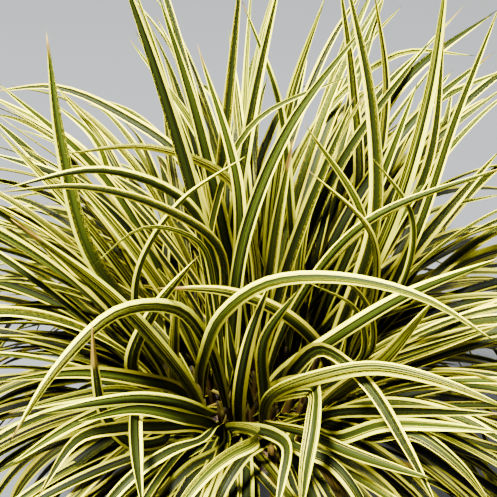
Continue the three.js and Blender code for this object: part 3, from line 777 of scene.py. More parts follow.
class SightMap:
    """What the eye of the layout sees of the blades: how near the nearest one is in each cell.

    Attributes:
        CELL: Columns of the layout in a cell.
        ACROSS: Cells across the map.
        BORDER: Cells outside the layout on each side.
        RAILS: Where across a blade it is looked at, from -1 to 1.
        FINE: Places along a blade when it is drawn.
        COARSE: Places along a blade when it is judged.
    """

    CELL = 3.0
    ACROSS = 197
    BORDER = 16
    RAILS = (-0.9, -0.3, 0.3, 0.9)
    FINE = 160
    COARSE = 40

    def __init__(self) -> None:
        """Starts with an empty view."""
        self.near = np.full((self.ACROSS, self.ACROSS), np.inf)
        self.filled = np.zeros((self.ACROSS, self.ACROSS), bool)

    def _cells(self, course: Course, count: int) -> tuple[np.ndarray, np.ndarray, np.ndarray]:
        """The cells in which a blade shows.

        Args:
            course: The blade.
            count: Places along it.

        Returns:
            Their columns and rows, and how far each place is from the eye.
        """
        points, side, _ = course.smooth(count)
        half = course.breadth * breadth_share(np.linspace(0, 1, count)) / 2
        spots = np.vstack([points + side * (half * rail)[:, None] for rail in self.RAILS])
        cells = (LAYOUT.shows_at(spots) / self.CELL).astype(int) + self.BORDER
        column, row = np.clip(cells, 0, self.ACROSS - 1).T
        return column, row, (spots - LAYOUT.eye()) @ LAYOUT.forward()

    def draw(self, course: Course, keep_clear: bool) -> None:
        """Draws a blade.

        Args:
            course: The blade.
            keep_clear: Whether nothing may stand in front of it later.
        """
        column, row, gap = self._cells(course, self.FINE)
        self.filled[column, row] = True
        if keep_clear:
            np.minimum.at(self.near, (column, row), gap)

    def judge(self, course: Course) -> tuple[float, float]:
        """What a blade would do to the view.

        Args:
            course: The blade.

        Returns:
            The share of it that would stand in front of others, and the share that would fill gaps.
        """
        column, row, gap = self._cells(course, self.COARSE)
        end = self.ACROSS - self.BORDER
        inside = (np.minimum(column, row) > self.BORDER) & (np.maximum(column, row) < end)
        hides = np.isfinite(self.near[column, row]) & (gap < self.near[column, row] - MM)
        return float(hides.mean()), float((inside & ~self.filled[column, row]).mean())


@dataclass
class Thicket:
    """The blades that stand so far, as thin ribbons that a new blade had better not pass through.

    Attributes:
        rungs: Sections along a ribbon.
        foot: The length from a blade's foot that isn't counted, because blades leave a sheath side
            by side.
        ribbons: Every blade's ribbon.
    """

    rungs: int = 26
    foot: float = 34 * MM
    ribbons: list[BVHTree] = field(default_factory=list)

    def ribbon(self, course: Course) -> BVHTree:
        """A blade as a ribbon.

        Args:
            course: The blade.

        Returns:
            Its ribbon, as a tree of faces.
        """
        points, side, _ = course.smooth(self.rungs)
        share = np.linspace(0, 1, self.rungs)
        half = (course.breadth * breadth_share(share) / 2)[:, None]
        first = min(int(self.foot / course.length() * self.rungs), self.rungs - 3)
        rails = np.vstack([(points + side * half * rail)[first:] for rail in (-1, 0, 1)])
        count = self.rungs - first
        faces = [
            [k + rail, k + rail + 1, k + rail + count + 1, k + rail + count]
            for rail in (0, count)
            for k in range(count - 1)
        ]
        return BVHTree.FromPolygons(rails.tolist(), faces)

    def add(self, course: Course) -> None:
        """Adds a blade."""
        self.ribbons.append(self.ribbon(course))

    def crossings(self, course: Course) -> int:
        """How many blades a new one would pass through."""
        new = self.ribbon(course)
        return sum(bool(new.overlap(old)) for old in self.ribbons)


@dataclass
class Canopy:
    """The leaves as small patches, whose shade is painted onto what lies under them.

    Attributes:
        above: The direction that the light comes from.
        density: How strongly the patches shade.
        clearance: Patches nearer than this don't shade, because they belong to the blade itself.
        cuts: How many patches a blade is cut into.
        spots: The middles of each blade's patches.
        areas: The sizes of each blade's patches.
        patches: The middles and sizes of all patches, once all blades are in.
    """

    above: np.ndarray = field(default_factory=lambda: np.array([-0.16, -0.3, 0.94]))
    density: float = 1.1
    clearance: float = 12 * MM
    cuts: int = 18
    spots: list[np.ndarray] = field(default_factory=list)
    areas: list[np.ndarray] = field(default_factory=list)
    patches: tuple[np.ndarray, np.ndarray] | None = None

    def add(self, course: Course) -> None:
        """Adds a blade's patches.

        Args:
            course: The blade.
        """
        points, _, _ = course.smooth(self.cuts)
        breadths = course.breadth * breadth_share(np.linspace(0, 1, self.cuts))
        self.spots.append(points)
        self.areas.append(breadths * course.length() / self.cuts)

    def close(self) -> None:
        """Says that all blades are in."""
        self.patches = np.vstack(self.spots), np.concatenate(self.areas)

    def shade_at(self, points: np.ndarray) -> np.ndarray:
        """How shaded points are, from 0 in the open to 1 deep inside.

        Args:
            points: Points in the frame, one a row.

        Returns:
            A number for each.
        """
        spots, areas = self.patches
        lines = spots[None, :, :] - points[:, None, :]
        gaps = np.linalg.norm(lines, axis=2) + 1e-6
        toward = np.maximum(lines @ self.above, 0) / gaps
        near = np.clip((gaps - self.clearance) / self.clearance, 0, 1)
        cover = (areas[None, :] * toward * near / (math.pi * gaps**2)).sum(axis=1)
        return 1 - np.exp(-self.density * cover)


@dataclass
class BladeLoft:
    """Gathers blades and sheaths into one mesh, with the attributes that the leaf finish reads.

    Attributes:
        rings: Sections along a blade.
        fold: Depth of the fold along the midrib, as a share of the breadth.
        thickness: Thickness of the blade beside the midrib.
        points: Corners, blade by blade.
        faces: Four-cornered faces.
        caps: Three-cornered faces, at both ends of every blade.
        places: Place across, share of the length and metres along, for each corner.
        natures: The blade's seed, its dryness and whether it is a sheath, for each corner.
        states: Its painted shade and how much of the blade has dried up, for each corner.
        strips: Each blade's first corner, number of rings and number of sides.
        creases: The edges that stay crisp.
        total: How many corners there are.
    """

    rings: int = 30
    fold: float = 0.13
    thickness: float = 0.32 * MM
    points: list[np.ndarray] = field(default_factory=list)
    faces: list[np.ndarray] = field(default_factory=list)
    caps: list[np.ndarray] = field(default_factory=list)
    places: list[np.ndarray] = field(default_factory=list)
    natures: list[np.ndarray] = field(default_factory=list)
    states: list[np.ndarray] = field(default_factory=list)
    strips: list[np.ndarray] = field(default_factory=list)
    creases: list[np.ndarray] = field(default_factory=list)
    total: int = 0

    # Places across the section, once round: over the top from edge to edge, and back underneath.
    ACROSS = np.array([-1.0, -0.55, 0.0, 0.55, 1.0, 0.55, 0.0, -0.55])
    UNDER = np.array([0.0, 0.0, 0.0, 0.0, 0.0, 1.0, 1.5, 1.0])
    # The corners of the section that stay crisp: both edges, the midrib and the keel.
    CRISP = (0, 2, 4, 6)
    # The fold: how deep it gets, how its sides bulge, and how much deeper it is on an old blade.
    DEEPEST_FOLD = 1.15 * MM
    BULGE = 1.3
    OLD_FOLD = 2.2
    # The share of its depth that the fold has at a blade's foot, and the share of the length over
    # which it gets the rest.
    FOOT_FOLD = 0.35
    FOLDS_OVER = 0.2
    # Half the breadth below which a blade gets thinner.
    THINS_BELOW = 1.2 * MM
    # The husks of a sheath: the heights of foot and end, and the radii there, in millimetres.
    HUSKS = ((-8, 20, 4.5, 3.5), (4, 32, 3.7, 2.9), (16, 43, 3.0, 2.1))
    HUSK_SIDES = 14
    HUSK_RINGS = 7
    # How far a husk's point stands up, how many ribs it has and how far they stand out, and how
    # far its end is drawn in and down inside. Heights and depths are in millimetres.
    HUSK_POINT = 5.0
    RIB_COUNT = 5
    HUSK_RIBS = 0.12
    DRAWN_IN = 0.6
    DRAWN_DOWN = 2.0
    # The length that the leaf finish takes a husk to have, in metres.
    HUSK_LENGTH = 0.03
    # A sheath gets at least this much painted shade.
    SHEATH_SHADE = 0.85
    # What is left free round a strip of the UV map, across it and along it.
    STRIP_GAP = (0.06, 0.01)

    def add_blade(self, course: Course, seed: float, canopy: Canopy) -> None:
        """Adds one blade.

        Args:
            course: The line that it follows.
            seed: The blade's own number, which its finish draws from.
            canopy: The leaves that shade it.
        """
        points, side, normal = course.smooth(self.rings + 1)
        share = np.linspace(0, 1, self.rings + 1)
        half = course.breadth * breadth_share(share) / 2
        folded = self.FOOT_FOLD + (1 - self.FOOT_FOLD) * np.minimum(share / self.FOLDS_OVER, 1)
        fold = np.minimum(self.fold * half * 2, self.DEEPEST_FOLD) * folded
        if course.kind is BladeKind.OLD:
            fold = fold * self.OLD_FOLD
        sag = fold[:, None] * (1 - np.abs(self.ACROSS)[None, :] ** self.BULGE)
        thinned = np.minimum(1, half[:, None] / self.THINS_BELOW)
        drop = self.thickness * self.UNDER[None, :] * thinned
        loop = (
            points[:, None, :]
            + side[:, None, :] * (self.ACROSS[None, :] * half[:, None])[..., None]
            - normal[:, None, :] * (sag + drop)[..., None]
        )
        metres = share * course.length()
        scorch = np.full(len(share), course.scorch)
        # The canopy's shade at each ring, which the leaf finish paints into the colour.
        state = np.stack([canopy.shade_at(points), scorch, share * 0], axis=1)
        self._add_tube(loop[:-1], points[-1], share, metres, (seed, course.dryness, 0.0), state)

    def _add_tube(
        self,
        loop: np.ndarray,
        tip: np.ndarray,
        share: np.ndarray,
        metres: np.ndarray,
        nature: tuple[float, float, float],
        state: np.ndarray,
    ) -> None:
        """Adds a closed tube of sections that ends in a point.

        Args:
            loop: The sections' corners, as ring, corner and coordinate.
            tip: The point that it ends in.
            share: Each ring's place along the tube, from 0 to 1, with the tip's last.
            metres: The same in metres.
            nature: The blade's seed, dryness and whether it is a sheath.
            state: How shaded each ring is and how much of the blade has dried up, with the tip's
                last.
        """
        rings, sides = loop.shape[:2]
        start = self.total
        self.points += [loop.reshape(-1, 3), tip[None, :]]
        is_blade = sides == len(self.ACROSS)
        across = (self.ACROSS + 1) / 2 if is_blade else np.linspace(0, 1, sides)
        grid = np.empty((rings, sides, 3))
        grid[..., 0] = across[None, :]
        grid[..., 1] = share[:rings, None]
        grid[..., 2] = metres[:rings, None]
        self.places += [grid.reshape(-1, 3), np.array([[0.5, share[-1], metres[-1]]])]
        self.natures.append(np.tile(np.array(nature), (rings * sides + 1, 1)))
        self.states.append(np.vstack([np.repeat(state[:rings], sides, axis=0), state[-1:]]))
        ring, corner = np.meshgrid(np.arange(rings - 1), np.arange(sides), indexing="ij")
        a = start + ring * sides + corner
        b = start + ring * sides + (corner + 1) % sides
        quads = np.stack([a, b, b + sides, a + sides], axis=-1).reshape(-1, 4)
        self.faces.append(quads)
        last = start + (rings - 1) * sides + np.arange(sides)
        end = start + rings * sides
        self.caps += [np.array([[p, q, end] for p, q in zip(last, np.roll(last, -1))])]
        self.caps += [np.array([[start, start + k + 1, start + k] for k in range(1, sides - 1)])]
        for k in self.CRISP if is_blade else ():
            rail = start + np.arange(rings) * sides + k
            self.creases.append(np.stack([rail[:-1], rail[1:]], axis=1))
        self.strips.append(np.array([start, rings, sides]))
        self.total += rings * sides + 1

    def add_sheath(
        self, foot: np.ndarray, axis: np.ndarray, bearing: float, seed: float, canopy: Canopy
    ) -> None:
        """Adds the wrapped sheath at the foot of a shoot, as husks that stand one inside another.

        Args:
            foot: Where the shoot's axis leaves the compost.
            axis: The direction of the axis.
            bearing: The side on which the oldest husk opens.
            seed: The number that its finish draws from.
            canopy: The leaves that shade it.
        """
        for husk, (low, high, wide, narrow) in enumerate(self.HUSKS):
            opening = bearing + husk * 2 * math.pi / len(self.HUSKS)
            angles = opening + np.arange(self.HUSK_SIDES) / self.HUSK_SIDES * 2 * math.pi
            outward = np.stack([np.cos(angles), np.sin(angles), 0 * angles], axis=1)
            rings = []
            for step in np.linspace(0, 1, self.HUSK_RINGS):
                rim = np.cos(angles - opening) * self.HUSK_POINT * step**3
                height = (low + (high - low) * step) + rim
                ribs = np.sin(self.RIB_COUNT * angles + husk)
                radius = wide + (narrow - wide) * step + self.HUSK_RIBS * ribs
                ring = foot + axis * (height * MM)[:, None]
                rings.append(ring + outward * (radius * MM)[:, None])
            inner = rings[-1] * (1 - self.DRAWN_IN) + rings[-1].mean(axis=0) * self.DRAWN_IN
            loop = np.array([*rings, inner - axis * self.DRAWN_DOWN * MM])
            share = np.linspace(0, 1, len(loop) + 1)
            middles = np.vstack([loop.mean(axis=1), loop[-1].mean(axis=0)])
            # The sheath's painted shade, never less than its least.
            shade = np.maximum(canopy.shade_at(middles), self.SHEATH_SHADE)
            state = np.stack([shade, share * 0, share * 0], axis=1)
            metres = share * self.HUSK_LENGTH
            self._add_tube(loop, middles[-1], share, metres, (seed + husk, 0.0, 1.0), state)

    def make(self, name: str, material: bpy.types.Material) -> bpy.types.Object:
        """The gathered blades as an object.

        Args:
            name: The object's name.
            material: Its finish.

        Returns:
            The new object, at the origin.
        """
        faces = [list(map(int, face)) for group in (*self.faces, *self.caps) for face in group]
        mesh = bpy.data.meshes.new(name)
        mesh.from_pydata(np.vstack(self.points).tolist(), [], faces)
        mesh.polygons.foreach_set("use_smooth", [True] * len(mesh.polygons))
        for label, rows in (
            ("blade_place", self.places),
            ("blade_nature", self.natures),
            ("blade_state", self.states),
        ):
            attribute = mesh.attributes.new(label, "FLOAT_VECTOR", "POINT")
            attribute.data.foreach_set("vector", np.vstack(rows).astype(np.float32).ravel())
        self._crease(mesh)
        self._lay_out(mesh)
        mesh.materials.append(material)
        mesh.update()
        return shown(name, mesh)

    def _crease(self, mesh: bpy.types.Mesh) -> None:
        """Keeps the blades' edges, midribs and keels crisp.

        Args:
            mesh: The gathered blades.
        """
        ends = np.zeros(len(mesh.edges) * 2, np.int32)
        mesh.edges.foreach_get("vertices", ends)
        ends = np.sort(ends.reshape(-1, 2), axis=1)
        wanted = np.sort(np.vstack(self.creases), axis=1)
        ends, wanted = (
            pair[:, 0].astype(np.int64) * self.total + pair[:, 1] for pair in (ends, wanted)
        )
        attribute = mesh.attributes.new("sharp_edge", "BOOLEAN", "EDGE")
        attribute.data.foreach_set("value", np.isin(ends, wanted))

    def _lay_out(self, mesh: bpy.types.Mesh) -> None:
        """Lays every blade out on a UV map, as two upright strips, one for each face.

        Args:
            mesh: The gathered blades.
        """
        order = np.zeros(self.total, np.int64)
        spot = np.zeros((self.total, 2))
        for index, (start, rings, sides) in enumerate(self.strips):
            stop = start + rings * sides + 1
            order[start:stop] = index
            corner = np.append(np.tile(np.arange(sides), rings), 0)
            turn = np.where(corner <= sides // 2, corner, sides - corner) / (sides / 2)
            spot[start:stop, 0] = turn
            spot[start:stop, 1] = np.append(np.repeat(np.arange(rings), sides), rings) / rings
            spot[stop - 1, 0] = 0.5
        corners = np.zeros(len(mesh.loops), np.int32)
        mesh.loops.foreach_get("vertex_index", corners)
        face_of = np.repeat(np.arange(len(mesh.polygons)), [len(p.vertices) for p in mesh.polygons])
        local = corners - np.array([s[0] for s in self.strips])[order[corners]]
        sides = np.array([s[2] for s in self.strips])[order[corners]]
        below = ((local % sides) > sides // 2) & (spot[corners, 1] < 1)
        under = np.zeros(len(mesh.polygons), bool)
        np.logical_or.at(under, face_of, below)
        column = 2 * order[corners] + under[face_of]
        slots = 2 * len(self.strips)
        beside, above = self.STRIP_GAP
        u = (column + beside + (1 - 2 * beside) * spot[corners, 0]) / slots
        v = above + (1 - 2 * above) * spot[corners, 1]
        layer = mesh.uv_layers.new(name="OFBake")
        layer.data.foreach_set("uv", np.stack([u, v], axis=1).astype(np.float32).ravel())


# ---- Shoots ----


class SolidReader:
    """Reads the blades of a shoot from its solid: three-cornered sections that end in a point.

    Attributes:
        STRETCH: The shortest and the longest distance between two sections.
        WIDEST: The widest section.
        SAME_PLACE: Corners nearer than this are one.
    """

    STRETCH = (12 * MM, 95 * MM)
    WIDEST = 14 * MM
    SAME_PLACE = 0.002 * MM

    def __init__(self, node: bpy.types.Object) -> None:
        """Merges a copy of the node's loose triangles.

        Args:
            node: The solid.
        """
        joined = bmesh.new()
        joined.from_mesh(node.data)
        bmesh.ops.remove_doubles(joined, verts=joined.verts, dist=self.SAME_PLACE)
        joined.verts.index_update()
        self.places = np.array([vertex.co for vertex in joined.verts])
        self.beside = [
            {edge.other_vert(vertex).index for edge in vertex.link_edges} for vertex in joined.verts
        ]
        joined.free()

    def _is_ring(self, ring: set[int]) -> bool:
        """Whether corners form a section of a blade.

        Args:
            ring: The corners.

        Returns:
            Whether there are three, joined to each other and close together.
        """
        if len(ring) != 3 or any(len(self.beside[corner] & ring) != 2 for corner in ring):
            return False
        spots = self.places[list(ring)]
        return float(np.ptp(spots, axis=0).max()) < self.WIDEST

    def sections(self) -> list[tuple[np.ndarray, list[np.ndarray]]]:
        """Every blade's tip, and its sections from the tip down to where it meets others.

        Returns:
            For each blade its tip, and a list of its sections' corners.
        """
        found = []
        for tip, around in enumerate(self.beside):
            if not self._is_ring(around):
                continue
            rings, above, ring = [], {tip}, around
            centre = self.places[tip]
            while self._is_ring(ring):
                middle = self.places[list(ring)].mean(axis=0)
                gap = float(np.linalg.norm(middle - centre))
                if not self.STRETCH[0] < gap < self.STRETCH[1]:
                    break
                rings.append(self.places[sorted(ring)])
                centre = middle
                joined = set().union(*(self.beside[corner] for corner in ring))
                above, ring = ring, joined - ring - above
            if len(rings) >= 2:
                found.append((self.places[tip], rings))
        return found


@dataclass(frozen=True)
class Growth:
    """How the extra blades of one kind grow; each pair is a smallest and a largest value.

    Attributes:
        count: How many a shoot gets, at most.
        outer: How far out in the crown, from 0 to 1, a shoot has to stand to get them.
        swing: How far a blade may turn away from its shoot's bearing.
        rise: Its slant from upright at its foot, in degrees.
        droop: How much further it slants at its tip, in degrees.
        bend: How late along its length the droop comes.
        length: Its length.
        breadth: Its breadth.
        dryness: How withered it is.
        hiding: The largest share of it that may stand in front of the grown blades.
    """

    count: int
    outer: float
    swing: float
    rise: tuple[float, float]
    droop: tuple[float, float]
    bend: float
    length: tuple[float, float]
    breadth: tuple[float, float]
    dryness: tuple[float, float] = (0.0, 0.0)
    hiding: float = 0.1


GROWTHS = {
    BladeKind.YOUNG: Growth(
        count=3,
        outer=0.0,
        swing=2.6,
        rise=(2, 34),
        droop=(8, 85),
        bend=1.3,
        length=(0.11, 0.24),
        breadth=(6.0 * MM, 10.5 * MM),
    ),
    BladeKind.LOW: Growth(
        count=3,
        outer=0.45,
        swing=1.1,
        rise=(30, 74),
        droop=(34, 112),
        bend=1.2,
        length=(0.14, 0.32),
        breadth=(7.0 * MM, 11.5 * MM),
    ),
    BladeKind.OLD: Growth(
        count=2,
        outer=0.2,
        swing=1.2,
        rise=(35, 80),
        droop=(50, 95),
        bend=1.3,
        length=(0.08, 0.2),
        breadth=(2.5 * MM, 6.0 * MM),
        dryness=(0.55, 1.0),
        hiding=0.04,
    ),
}


@dataclass
class Shoot:
    """One leafy shoot: a wrapped sheath and the blades that leave it.

    Attributes:
        node: The name of the solid that it replaces.
        foot: Where its axis leaves the compost.
        axis: The direction of the axis.
        courses: The courses of its blades.
    """

    # How many blades are tried for each that grows, what it costs one to pass through another, and
    # the least that one has to be worth.
    TRIES = 40
    CROSSING_COST = 0.1
    LEAST_WORTH = -0.3
    # How many places of a blade are held against the openings.
    LOOKED_AT = 24
    # How often sharp turns are made rounder, and the cosine of the sharpest that stays.
    EASINGS = 4
    SHARP_TURN = math.cos(math.radians(64))
    # The broadest blade, and the least share of its breadth that a section is taken to have.
    BROADEST = 13.5 * MM
    LEAST_SHARE = 0.05
    # Heights in the sheath at which a blade may leave it, and how many of them are tried.
    LEAVES_AT = (4 * MM, 28 * MM, 25)
    # How far the way to a blade's first section bows up, as a share of a stretch, and how much of
    # that it bows inwards.
    BOW = 0.12
    BOW_INWARD = 0.4
    # An extra blade: how many stretches it has, how far it may turn aside, the heights in the
    # sheath, in millimetres, between which it leaves it, and how many times the swing of its kind
    # it has in the middle of the crown, and how much less at the edge.
    STRETCHES = 7
    SWEEP = 0.9
    EXTRAS_LEAVE_AT = (4, 26)
    SWING_WITHIN = 1.3
    SWING_LESS = 0.6
    # What the blades' own numbers lie between.
    NUMBERS = (0, 100)
    # Between the crown's edge and the pot's, blades stay this high. Everywhere they stay clear of
    # the floor and inside the solids' box.
    CROWN_EDGE = CROWN_RADIUS + 12 * MM
    POT_RADIUS = 92 * MM
    POT_CLEARANCE = 150 * MM
    FLOOR_CLEARANCE = 14 * MM
    EDGE_CLEARANCE = 4 * MM

    node: str
    foot: np.ndarray = field(default_factory=lambda: np.zeros(3))
    axis: np.ndarray = field(default_factory=lambda: np.array([0.0, 0.0, 1.0]))
    courses: list[Course] = field(default_factory=list)

    def read(self) -> None:
        """Takes the shoot's stance and its blades' courses from its solid."""
        reader = SolidReader(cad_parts[self.node])
        rank = int(self.node.split("_")[1]) - 1
        out = math.sqrt((rank + 0.5) / CROWN_SHOOTS)
        bearing = rank * math.pi * (3 - math.sqrt(5)) + CROWN_TURN
        heading = np.array([math.cos(bearing), math.sin(bearing), 0.0])
        lean = CROWN_LEAN * out
        self.axis = heading * math.sin(lean) + np.array([0, 0, math.cos(lean)])
        self.foot = heading * CROWN_RADIUS * out + np.array([0, 0, SOIL_LEVEL])
        for tip, rings in reader.sections():
            self.courses.append(self._course(tip, rings))

    def _course(self, tip: np.ndarray, rings: list[np.ndarray]) -> Course:
        """A blade's course, from its tip and its sections, and down into the sheath.

        Args:
            tip: The blade's tip.
            rings: Its sections' corners, from the tip down.

        Returns:
            The course from the sheath's axis to the tip.
        """
        centres, keels, widths = [], [], []
        for ring in rings:
            lengths = [np.linalg.norm(ring[(k + 1) % 3] - ring[(k + 2) % 3]) for k in range(3)]
            keel = int(np.argmax(lengths))
            edge = (ring[(keel + 1) % 3] + ring[(keel + 2) % 3]) / 2
            centres.append(edge)
            keels.append(unit(ring[keel] - edge))
            widths.append(max(lengths))
        centres, keels = np.array(centres[::-1]), np.array(keels[::-1])
        widths = np.array(widths[::-1])
        stretch = np.linalg.norm(tip - centres[-1])
        heights = np.linspace(*self.LEAVES_AT)
        spots = self.foot + self.axis * heights[:, None]
        gaps = np.linalg.norm(spots - centres[0], axis=1) / stretch
        missing = max(1, round(float(gaps.min())))
        leave = spots[int(np.argmin(np.abs(gaps - missing)))]
        outward = centres[0] - leave
        outward = unit(np.array([outward[0], outward[1], 0.0]))
        points = [leave, *centres, tip]
        if missing > 1:
            bow = (self.axis - outward * self.BOW_INWARD) * stretch * self.BOW
            points.insert(1, leave * 0.5 + centres[0] * 0.5 + bow)
        points = np.array(points)
        inner = [-outward] * (2 if missing > 1 else 1)
        normals = np.vstack([*inner, -keels, -keels[-1:]])
        walked = walked_to(points)
        shares = walked[-1 - len(widths) : -1] / walked[-1]
        parts = np.maximum(breadth_share(shares, SOLID_TAPER), self.LEAST_SHARE)
        breadth = float(np.median(widths / parts))
        breadth = min(breadth * marked(tip, BROAD_BLADES, 1.0), self.BROADEST)
        return Course(self._eased(points), normals, breadth, scorch=marked(tip, SCORCHED_TIPS, 0.0))

    def _eased(self, points: np.ndarray) -> np.ndarray:
        """A line with its sharp turns made rounder.

        Args:
            points: The points of the line.

        Returns:
            The eased points.
        """
        eased = points.copy()
        for _ in range(self.EASINGS):
            ahead = unit(np.diff(eased, axis=0))
            sharp = (ahead[1:] * ahead[:-1]).sum(axis=1) < self.SHARP_TURN
            middles = (eased[:-2] + eased[2:]) / 2
            eased[1:-1] = np.where(sharp[:, None], (eased[1:-1] + middles) / 2, eased[1:-1])
        return eased

    def sprout(
        self, kind: BladeKind, sight: SightMap, thicket: Thicket, random: np.random.Generator
    ) -> None:
        """Draws more blades of one kind, each the best of a few tries.

        Args:
            kind: Their kind.
            sight: What is seen of the blades so far, to which the new ones are added.
            thicket: The blades so far, to which the new ones are added as well.
            random: The generator to draw from.
        """
        growth = GROWTHS[kind]
        out = np.hypot(*self.foot[:2]) / CROWN_RADIUS
        if out < growth.outer:
            return
        for _ in range(growth.count):
            best, most = None, self.LEAST_WORTH
            for _ in range(self.TRIES):
                course = self._draw(kind, growth, random)
                if not self._is_free(course.points):
                    continue
                if not LAYOUT.keeps_out(course.smooth(self.LOOKED_AT)[0], course.breadth):
                    continue
                hides, fills = sight.judge(course)
                if hides > growth.hiding or fills <= most:
                    continue
                worth = fills - self.CROSSING_COST * thicket.crossings(course)
                if worth > most:
                    best, most = course, worth
            if best is not None:
                self.courses.append(best)
                sight.draw(best, keep_clear=False)
                thicket.add(best)

    def _draw(self, kind: BladeKind, growth: Growth, random: np.random.Generator) -> Course:
        """One blade of a kind, wherever it goes.

        Args:
            kind: The kind.
            growth: How blades of that kind grow.
            random: The generator to draw from.

        Returns:
            Its course.
        """
        out = np.hypot(*self.foot[:2]) / CROWN_RADIUS
        heading = math.atan2(self.foot[1], self.foot[0])
        swing = self.SWING_WITHIN - self.SWING_LESS * out
        heading += random.uniform(-1, 1) * growth.swing * swing
        rise, droop = random.uniform(*growth.rise), random.uniform(*growth.droop)
        length, breadth = random.uniform(*growth.length), random.uniform(*growth.breadth)
        dryness, sweep = random.uniform(*growth.dryness), random.uniform(-self.SWEEP, self.SWEEP)
        points = [self.foot + self.axis * random.uniform(*self.EXTRAS_LEAVE_AT) * MM]
        normals = []
        for step in range(self.STRETCHES):
            share = (step + 0.5) / self.STRETCHES
            slant = math.radians(rise + droop * share**growth.bend)
            way = heading + sweep * share
            flat = np.array([math.cos(way), math.sin(way), 0.0])
            ahead = flat * math.sin(slant) + np.array([0, 0, math.cos(slant)])
            normals.append(np.array([0, 0, math.sin(slant)]) - flat * math.cos(slant))
            points.append(points[-1] + ahead * length / self.STRETCHES)
        return Course(np.array(points), np.array([*normals, normals[-1]]), breadth, kind, dryness)

    def _is_free(self, points: np.ndarray) -> bool:
        """Whether a blade stays clear of the pot and the floor, and inside the solids' box.

        Args:
            points: Points along it.

        Returns:
            Whether it does.
        """
        out = np.hypot(points[:, 0], points[:, 1])
        over_pot = (out > self.CROWN_EDGE) & (out < self.POT_RADIUS)
        if (points[over_pot, 2] < self.POT_CLEARANCE).any():
            return False
        if points[:, 2].min() < self.FLOOR_CLEARANCE:
            return False
        low, high = np.array(CAD_BOX) + np.array([[self.EDGE_CLEARANCE], [-self.EDGE_CLEARANCE]])
        return bool((points > low).all() and (points < high).all())

    def build(
        self, canopy: Canopy, random: np.random.Generator, material: bpy.types.Material
    ) -> bpy.types.Object:
        """Builds the shoot's sheath and blades, and puts them in the solid's place.

        Args:
            canopy: The leaves that shade them.
            random: The generator that the blades' own numbers are drawn from.
            material: The leaf finish.

        Returns:
            The shoot's object.
        """
        loft = BladeLoft()
        for course in self.courses:
            loft.add_blade(course, float(random.uniform(*self.NUMBERS)), canopy)
        bearing = math.atan2(self.foot[1], self.foot[0])
        number = float(random.uniform(*self.NUMBERS))
        loft.add_sheath(self.foot, self.axis, bearing, number, canopy)
        thing = loft.make(self.node.replace("shoot", "leafy_shoot"), material)
        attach(thing, BODY)
        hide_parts(self.node)
        return thing


@dataclass
class Sedge:
    """The whole plant: every shoot of the crown.

    Attributes:
        finish: The leaves' finish.
        seed: The seed of everything drawn by lot.
    """

    finish: LeafFinish = field(default_factory=LeafFinish)
    seed: int = 71

    def build(self) -> list[bpy.types.Object]:
        """Builds every shoot.

        Returns:
            The shoots' objects.
        """
        random = np.random.default_rng(self.seed)
        nodes = sorted(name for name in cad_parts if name.startswith("shoot_"))
        shoots = [Shoot(node) for node in nodes]
        sight, thicket, canopy = SightMap(), Thicket(), Canopy()
        for shoot in shoots:
            shoot.read()
            for course in shoot.courses:
                sight.draw(course, keep_clear=True)
                thicket.add(course)
        read = sum(len(shoot.courses) for shoot in shoots)
        for kind in GROWTHS:
            for shoot in shoots:
                shoot.sprout(kind, sight, thicket, random)
        for shoot in shoots:
            for course in shoot.courses:
                canopy.add(course)
        canopy.close()
        material = self.finish.make()
        things = [shoot.build(canopy, random, material) for shoot in shoots]
        total = sum(len(shoot.courses) for shoot in shoots)
        log.info("sedge: %d shoots, %d blades", len(things), total)
        log.info("sedge: %d blades read from the solids", read)
        for kind in BladeKind:
            count = sum(course.kind is kind for shoot in shoots for course in shoot.courses)
            log.info("sedge: %d %s blades", count, kind.value)
        return things


# ---- Pot and compost ----


def as_mesh(name: str, shape: bmesh.types.BMesh) -> bpy.types.Mesh:
    """Turns an edited shape into a mesh, and frees it.

    Args:
        name: The mesh's name.
        shape: The shape.

    Returns:
        The mesh.
    """
    mesh = bpy.data.meshes.new(name)
    shape.to_mesh(mesh)
    shape.free()
    return mesh


def turned(name: str, profile: list[tuple[float, float]], sides: int) -> bpy.types.Object:
    """A closed solid of revolution about +Z.

    Args:
        name: The object's name.
        profile: Radius and height of each point, from the axis round to the axis again.
        sides: How many sides it has.

    Returns:
        The new object, at the origin.
    """
    shape = bmesh.new()
    angles = [2 * math.pi * k / sides for k in range(sides)]
    rings = []
    for radius, height in profile:
        if radius < 1e-9:
            rings.append([shape.verts.new((0, 0, height))])
        else:
            places = [(radius * math.cos(a), radius * math.sin(a), height) for a in angles]
            rings.append([shape.verts.new(place) for place in places])
    for lower, upper in zip(rings, rings[1:]):
        for k in range(sides):
            corners = [lower[(k + turn) % len(lower)] for turn in (0, 1)]
            corners += [upper[(k + turn) % len(upper)] for turn in (1, 0)]
            shape.faces.new(list(dict.fromkeys(corners)))
    bmesh.ops.recalc_face_normals(shape, faces=shape.faces)
    return shown(name, as_mesh(name, shape))


def settle(thing: bpy.types.Object) -> None:
    """Turns an object's modifiers into a plain mesh and takes them off.

    Args:
        thing: The object.
    """
    graph = bpy.context.evaluated_depsgraph_get()
    mesh = bpy.data.meshes.new_from_object(thing.evaluated_get(graph))
    thing.modifiers.clear()
    thing.data = mesh


